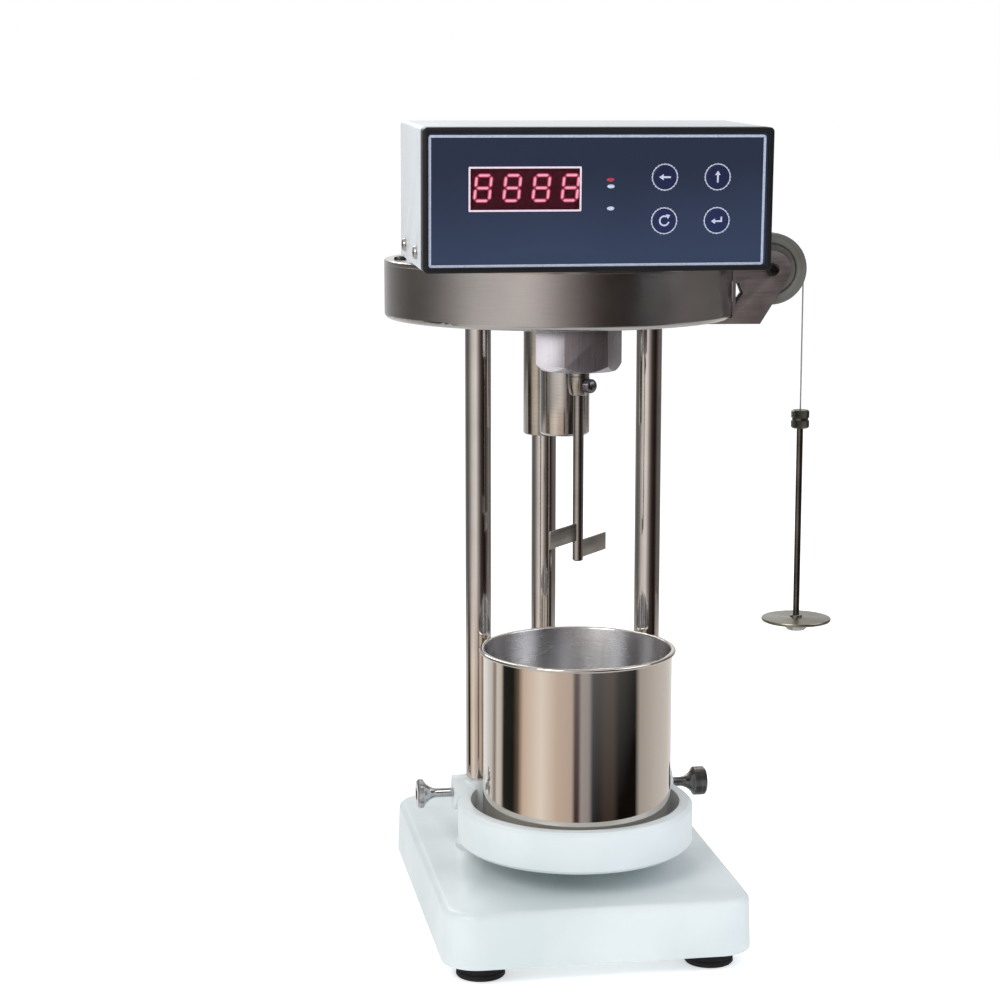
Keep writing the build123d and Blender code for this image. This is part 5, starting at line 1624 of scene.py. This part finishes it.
@dataclass
class SampleCup:
    """Sample cup on the platform that the two thumbscrews clamp to the front columns."""

    inner: float = 42.5
    wall: float = 0.8
    floor: float = 49.0
    top: float = 136.0
    corner: float = 5.0
    brim: float = 45.0
    lip: float = 0.85
    screw_start: float = 46.35
    knob_end: float = 69.0
    knob_radius: float = 6.8

    def arc(self, middle: tuple[float, float], radius: float, first: float, last: float,
            steps: int = 8) -> list[tuple[float, float]]:
        """Points of an arc in the cup's half section.

        Args:
            middle: Its centre as radius and height.
            radius: Its radius.
            first: The angle that it starts at, in degrees.
            last: The angle that it ends at.
            steps: How many steps it has.

        Returns:
            Points of radius and height.
        """
        angles = [math.radians(first + (last - first) * i / steps) for i in range(steps + 1)]
        return [
            (middle[0] + radius * math.cos(a), middle[1] + radius * math.sin(a)) for a in angles
        ]

    def cup(self) -> None:
        """Drawn cup with rounded lower corner and a rolled brim."""
        outer, floor, top = self.inner + self.wall, self.floor, self.top
        lip = self.lip
        outline = [
            (0.0, floor),
            *self.arc((outer - self.corner, floor + self.corner), self.corner, -90, 0),
            (outer, top - 2 * lip - 0.5),
            (outer + 0.1, top - 2 * lip - 0.1),
            *self.arc((self.brim - lip, top - lip), lip, -90, 90),
            (self.inner + 0.55, top - 0.02),
            (self.inner + 0.12, top - 0.25),
            (self.inner, top - 0.8),
            *self.arc((self.inner - self.corner + self.wall, floor + self.corner),
                      self.corner - self.wall, 0, -90),
            (0.0, floor + self.wall),
        ]
        bm = bmesh.new()
        faces = turned(bm, outline, Spindle(*ROTOR), segments=144, closed=False)
        for face in faces:
            middle = face.calc_center_median()
            reach = math.hypot(middle.x - ROTOR[0] * MM, middle.y - ROTOR[1] * MM)
            inside = reach < (self.inner + 0.1) * MM and middle.z > (floor + 0.4) * MM
            face.material_index = 1 if inside else 0
        piece("drawn_cup", bm, (CUP_STEEL, CUP_INSIDE), "cup", ("sample_cup",), crease=50.0)

    def clamp(
        self, side: int, finish: Finish, name: str, body: str, node: str, thick: float
    ) -> None:
        """Thumbscrew with a slim stem that flares to a knurled disc.

        Args:
            side: -1 on the left, 1 on the right.
            finish: Its finish.
            name: The piece's name.
            body: The body that it rides on.
            node: The CAD node that it replaces.
            thick: Thickness of its disc in millimetres.
        """
        start, end, radius = self.screw_start, self.knob_end, self.knob_radius
        back = end - thick
        steps = round(thick / 0.5)
        rim = [(radius, back + thick * step / steps) for step in range(steps + 1)]
        flare = [(2.2, 6.2), (2.5, 4.8), (3.2, 3.3), (4.3, 1.8), (5.6, 0.7), (6.5, 0.3)]
        outline = [
            (0.0, start), (1.8, start), (2.2, start + 0.4),
            *[(reach, back - behind) for reach, behind in flare], *rim,
            (radius - 0.3, end + 0.4), (radius - 0.9, end + 0.9), (3.2, end + 1.0),
            (2.8, end + 0.7), (0.0, end + 0.6),
        ]
        line = Spindle(*CLAMPS, (float(side), 0.0, 0.0))
        bm = bmesh.new()
        faces = turned(bm, outline, line, segments=72, closed=False)
        knurl(bm, faces, line, radius, 0.16)
        piece(name, bm, finish, body, (node,))

    def build(self) -> None:
        """Platform, cup and both thumbscrews."""
        softened("platform_ring", "platform_in_enamel", CAST_ENAMEL, "platform", edge_mm=0.7)
        self.cup()
        self.clamp(-1, CLAMP_STEEL, "left_thumbscrew", "left_clamp", "left_clamp_screw", 2.0)
        self.clamp(1, BLACKED_CLAMP, "right_thumbscrew", "right_clamp", "right_clamp_screw", 5.0)


@dataclass
class ControlBox:
    """Leaning box with the display, the keys and the rear inlet, drawn on its front face."""

    width: float = 151.4
    lean: float = math.radians(2.036)
    front_y: float = -94.43
    front_z: float = 309.8
    panel: float = -0.8
    border: tuple = (-0.5, 30.1, 145.6, 55.5)
    window: tuple = (-32.1, 35.2, 47.5, 18.0)
    print_thickness: float = 0.08
    digit_count: int = 4
    digit_left: float = -54.7
    digit_pitch: float = 12.5
    digit_width: float = 7.9
    digit_bottom: float = 29.6
    digit_height: float = 12.2
    digit_slant: float = 0.1
    bar: float = 1.6
    bar_gap: float = 0.22
    bar_edge: float = 0.38
    point_radius: float = 0.62
    key_radius: float = 5.0
    ring_radius: float = 5.75
    ring_scallops: int = 24
    scallop: float = 0.022
    lamps: tuple = ((4.6, 39.0), (4.8, 36.2), (4.8, 26.9))
    lamp_stretch: tuple[float, float] = (2.2, 1.2)
    side_screw_depths: tuple = (22.0, 60.0)
    keys: dict = field(default_factory=lambda: {
        "left_key": (28.2, 40.0, Symbol.BACK),
        "up_key": (51.3, 40.0, Symbol.UP),
        "reset_key": (28.2, 21.5, Symbol.RESTART),
        "enter_key": (51.3, 21.5, Symbol.RETURN),
    })

    def face(self, x: float = 0.0, h: float = 0.0, out: float = 0.0) -> Matrix:
        """Frame of the front face at a place on it.

        Args:
            x: Millimetres to the right of the middle.
            h: Millimetres up the face.
            out: Millimetres towards the user.

        Returns:
            A matrix that takes x, up and out to the machine's frame.
        """
        right = Vector((1, 0, 0))
        outward = Vector((0, -math.cos(self.lean), -math.sin(self.lean)))
        up = outward.cross(right)
        spot = Vector((0, self.front_y, self.front_z)) + right * x + up * h + outward * out
        turn = Matrix((right, up, outward)).transposed()
        return Matrix.Translation(spot * MM) @ turn.to_4x4()

    def plate(
        self,
        bm: bmesh.types.BMesh,
        spots: Sequence[tuple[float, float]],
        out: float,
        thick: float,
        material: int = 0,
    ) -> list[bmesh.types.BMVert]:
        """Lay a flat plate of a few corners on the front face.

        Args:
            bm: The mesh that it is added to.
            spots: Its corners, x and up in millimetres.
            out: Its front side's distance from the face.
            thick: Its thickness, which goes inwards.
            material: Its material number.

        Returns:
            The plate's vertices.
        """
        base = [bm.verts.new((x * MM, y * MM, (out - thick) * MM)) for x, y in spots]
        bottom = bm.faces.new(base)
        made = bmesh.ops.extrude_face_region(bm, geom=[bottom], use_keep_orig=True)["geom"]
        top = verts_in(made)
        bmesh.ops.translate(bm, vec=(0, 0, thick * MM), verts=top)
        verts = base + top
        for face in {f for v in verts for f in v.link_faces}:
            face.material_index = material
        bmesh.ops.transform(bm, matrix=self.face(), verts=verts)
        return verts

    def frame_line(
        self, bm: bmesh.types.BMesh, middle: tuple[float, float], size: tuple[float, float],
        line: float, out: float, corner: float,
    ) -> None:
        """Print a line round a rectangle with rounded corners.

        Args:
            bm: The mesh that it is added to.
            middle: The rectangle's middle.
            size: Its outer width and height.
            line: The line's width.
            out: Its front side's distance from the face.
            corner: Radius of its outer corners.
        """
        rings = []
        for inset in (0.0, line):
            half_x, half_y = size[0] / 2 - inset, size[1] / 2 - inset
            radius = max(corner - inset, 0.15)
            ring = bmesh.ops.create_circle(bm, segments=32, radius=radius * MM)["verts"]
            for vert in ring:
                push = Vector((
                    math.copysign(half_x - radius, vert.co.x),
                    math.copysign(half_y - radius, vert.co.y),
                    0.0,
                ))
                vert.co += push * MM
            rings.append(ring)
        edges = edges_of(rings[0] + rings[1])
        band = bmesh.ops.bridge_loops(bm, edges=edges)["faces"]
        made = bmesh.ops.extrude_face_region(bm, geom=band)["geom"]
        top = verts_in(made)
        bmesh.ops.translate(bm, vec=(0, 0, self.print_thickness * MM), verts=top)
        verts = rings[0] + rings[1] + top
        bmesh.ops.transform(
            bm, matrix=self.face(*middle, out - self.print_thickness), verts=verts
        )

    def prints(self) -> None:
        """Pale border of the panel and the frame of the window."""
        bm = bmesh.new()
        x, h, wide, high = self.border
        self.frame_line(bm, (x, h), (wide, high), 1.1, self.panel + 0.06, 1.2)
        piece("panel_border_print", bm, BORDER_INK, "stand")
        bm = bmesh.new()
        x, h, wide, high = self.window
        self.frame_line(bm, (x, h), (wide + 0.9, high + 0.9), 0.8, self.panel + 0.07, 0.5)
        piece("window_frame_print", bm, WINDOW_INK, "stand")

    def bars(self) -> dict[str, list[tuple[float, float]]]:
        """The seven bars of a digit, upright, with its lower left corner at the origin."""
        wide, high, bar = self.digit_width, self.digit_height, self.bar
        gap, half, mid = self.bar_gap, bar / 2, high / 2

        def level(y: float) -> list[tuple[float, float]]:
            a, b = half + gap, wide - half - gap
            return [(a, y), (a + half, y - half), (b - half, y - half), (b, y),
                    (b - half, y + half), (a + half, y + half)]

        def upright(x: float, low: float, top: float) -> list[tuple[float, float]]:
            a, b = low + gap, top - gap
            return [(x, a), (x + half, a + half), (x + half, b - half), (x, b),
                    (x - half, b - half), (x - half, a + half)]

        return {
            "top": level(high - half), "middle": level(mid), "bottom": level(half),
            "upper left": upright(half, mid, high - half),
            "upper right": upright(wide - half, mid, high - half),
            "lower left": upright(half, half, mid),
            "lower right": upright(wide - half, half, mid),
        }

    def digits(self) -> None:
        """Four slanted digits with every bar lit, and their unlit points."""
        bm = bmesh.new()
        tops = []
        for number in range(self.digit_count):
            left = self.digit_left + number * self.digit_pitch
            for outline in self.bars().values():
                spots = [
                    (left + x + y * self.digit_slant, self.digit_bottom + y) for x, y in outline
                ]
                verts = self.plate(bm, spots, self.panel - 0.1, 0.25)
                tops.append(verts[len(spots):])
        for top in tops:
            shared = set(top[0].link_faces).intersection(*[set(v.link_faces) for v in top[1:]])
            inner = bmesh.ops.inset_region(
                bm, faces=list(shared), thickness=self.bar_edge * MM, depth=0.0,
                use_even_offset=True,
            )
            for face in shared:
                face.material_index = 1
            for face in inner["faces"]:
                face.material_index = 0
        piece("lit_digits", bm, (LIT_EDGE, LIT_CORE), "stand", crease=20)
        bm = bmesh.new()
        for number in range(self.digit_count):
            x = self.digit_left + number * self.digit_pitch + self.digit_width + 0.9
            dot = bmesh.ops.create_circle(
                bm, cap_ends=True, segments=16, radius=self.point_radius * MM
            )
            bmesh.ops.transform(
                bm,
                matrix=self.face(x, self.digit_bottom + 0.5, self.panel - 0.1),
                verts=dot["verts"],
            )
        bmesh.ops.solidify(bm, geom=bm.faces[:], thickness=0.1 * MM)
        piece("unlit_points", bm, DARK_LENS, "stand")

    def window_pane(self) -> None:
        """Dyed window over a dark block, with the digits between them."""
        dress("display_window", RED_ACRYLIC)
        dress("display_module", DARK_LENS)

    def indicator_lamps(self) -> None:
        """Three small unit lamps beside the window: one red, two pale."""
        for number, (x, h) in enumerate(self.lamps):
            bm = bmesh.new()
            outline = [(0.0, 0.35), (0.35, 0.32), (0.62, 0.2), (0.72, 0.0), (0.72, -0.05),
                       (0.0, -0.05)]
            turned(bm, outline, Spindle(), segments=20, closed=False)
            stretch = Matrix.Diagonal((*self.lamp_stretch, 1.0, 1.0))
            bmesh.ops.transform(
                bm, matrix=self.face(x, h, self.panel) @ stretch, verts=bm.verts
            )
            finish = RED_INK if number == 0 else PALE_INK
            piece(f"unit_lamp_{number + 1}", bm, finish, "stand")

    def key_rings(self) -> None:
        """Pale scalloped ring round each key."""
        bm = bmesh.new()
        for x, h, _ in self.keys.values():
            old = set(bm.verts)
            inner, outer = self.key_radius + 0.18, self.ring_radius
            outline = [
                (inner, 0.02), (inner + 0.12, 0.3), ((inner + outer) / 2, 0.42),
                (outer - 0.2, 0.3), (outer, 0.02),
            ]
            turned(bm, outline, Spindle(), segments=96)
            for vert in [v for v in bm.verts if v not in old]:
                reach = math.hypot(vert.co.x, vert.co.y)
                if reach > (outer - 0.35) * MM:
                    wave = math.cos(self.ring_scallops * math.atan2(vert.co.y, vert.co.x))
                    vert.co.x *= 1 + self.scallop * wave
                    vert.co.y *= 1 + self.scallop * wave
            bmesh.ops.transform(
                bm,
                matrix=self.face(x, h, self.panel),
                verts=[v for v in bm.verts if v not in old],
            )
        piece("key_rings", bm, PALE_INK, "stand")

    def signs(self, symbol: Symbol) -> list[list[tuple[float, float]]]:
        """Flat shapes that make up a key's sign, round the key's middle.

        Args:
            symbol: The sign.

        Returns:
            Closed shapes of a few corners each, in millimetres.
        """
        if symbol is Symbol.BACK:
            return [
                [(-2.6, 0.0), (-0.6, -1.3), (-0.6, 1.3)],
                [(-0.7, -0.4), (2.5, -0.4), (2.5, 0.4), (-0.7, 0.4)],
            ]
        if symbol is Symbol.UP:
            return [
                [(0.0, 2.7), (-1.2, 0.8), (1.2, 0.8)],
                [(-0.38, -2.4), (0.38, -2.4), (0.38, 0.9), (-0.38, 0.9)],
            ]
        if symbol is Symbol.RETURN:
            return [
                [(-2.6, -0.3), (-0.8, -1.5), (-0.8, 0.9)],
                [(-0.9, -0.65), (2.3, -0.65), (2.3, 0.05), (-0.9, 0.05)],
                [(1.6, 0.0), (2.3, 0.0), (2.3, 1.6), (1.6, 1.6)],
            ]
        shapes = []
        for step in range(13):
            first, last = (math.radians(60 + 22 * (step + i)) for i in (0, 1.04))
            shapes.append([
                (1.65 * math.cos(first), 1.65 * math.sin(first)),
                (2.35 * math.cos(first), 2.35 * math.sin(first)),
                (2.35 * math.cos(last), 2.35 * math.sin(last)),
                (1.65 * math.cos(last), 1.65 * math.sin(last)),
            ])
        shapes.append([(2.6, 2.5), (0.6, 2.75), (1.55, 0.75)])
        return shapes

    def key_caps(self) -> None:
        """Round keys with their signs."""
        nodes = {"left_key": "key_left", "up_key": "key_up", "reset_key": "key_reset",
                 "enter_key": "key_enter"}
        for body, (x, h, symbol) in self.keys.items():
            softened(nodes[body], f"{nodes[body]}_cap", KEY_FILM, body, edge_mm=0.12)
            bm = bmesh.new()
            for shape in self.signs(symbol):
                spots = [(x + a, h + b) for a, b in shape]
                self.plate(bm, spots, self.panel + 0.35, 0.07)
            piece(f"{nodes[body]}_sign", bm, PALE_INK, body, crease=20)

    def side_screws(self) -> None:
        """Bright cross recess screws low on both sides of the cover."""
        bm = bmesh.new()
        screw = Screw(Drive.CROSS, 2.9, 1.6, 1.5, 5.0)
        for side in (-1, 1):
            for depth in self.side_screw_depths:
                spot = self.face(side * self.width / 2, 7.0, -depth).translation / MM
                screw.add(bm, seat(spot, (float(side), 0.0, 0.0)))
        piece("cover_screws", bm, BRIGHT_STEEL, "stand", ("box_side_screws",))

    def build(self) -> None:
        """Box, panel, display, keys and rear fittings."""
        softened("front_bezel", "front_frame", BLACK_ABS, "stand", edge_mm=0.5)
        dress("front_panel", PANEL_FILM)
        softened("box_cover", "folded_cover", SHEET_ENAMEL, "stand", edge_mm=0.35)
        dress("box_tray", SHEET_ENAMEL)
        self.prints()
        self.window_pane()
        self.digits()
        self.indicator_lamps()
        self.key_rings()
        self.key_caps()
        self.side_screws()
        softened("power_inlet", "inlet_block", BLACK_ABS, "stand", edge_mm=0.25)
        softened("switch_well", "switch_frame", BLACK_ABS, "stand", edge_mm=0.25)
        softened("power_rocker", "switch_rocker_cap", BLACK_ABS, "switch_rocker", edge_mm=0.3)


@dataclass
class WheelWork:
    """Wheels, shafts, bearings and boards that the head and the box hold inside."""

    finishes: dict = field(default_factory=lambda: {
        "gear_bridge": BEARING_STEEL,
        "spindle": BEARING_STEEL,
        "spindle_bearings": BEARING_STEEL,
        "housing_ring_nuts": BEARING_STEEL,
        "idler_shaft": BEARING_STEEL,
        "spool_shaft": BEARING_STEEL,
        "friction_washer": BUSH_BRONZE,
        "bronze_bushes": BUSH_BRONZE,
        "idler_gear": GEAR_BRASS,
        "spool_gear": GEAR_BRASS,
        "encoder_disc": BLACKED_STEEL,
        "light_gate": BLACK_ABS,
        "box_spacers": DRUM_ALLOY,
        "display_board": LAMINATE,
        "main_board": LAMINATE,
        "board_posts": NYLON,
    })

    def build(self) -> None:
        """Give each inner node its own metal or plastic."""
        for node, finish in self.finishes.items():
            dress(node, finish)


def main() -> None:
    """Build the scene, sub-assembly by sub-assembly."""
    logging.basicConfig(level=logging.INFO, format="%(name)s: %(message)s")
    for part in (
        Studio(), Stand(), Head(), Rotor(), CordDrive(), WeightHanger(), SampleCup(),
        ControlBox(), WheelWork(),
    ):
        part.build()
        log.info("built the %s", type(part).__name__)


if __name__ == "__main__":
    main()
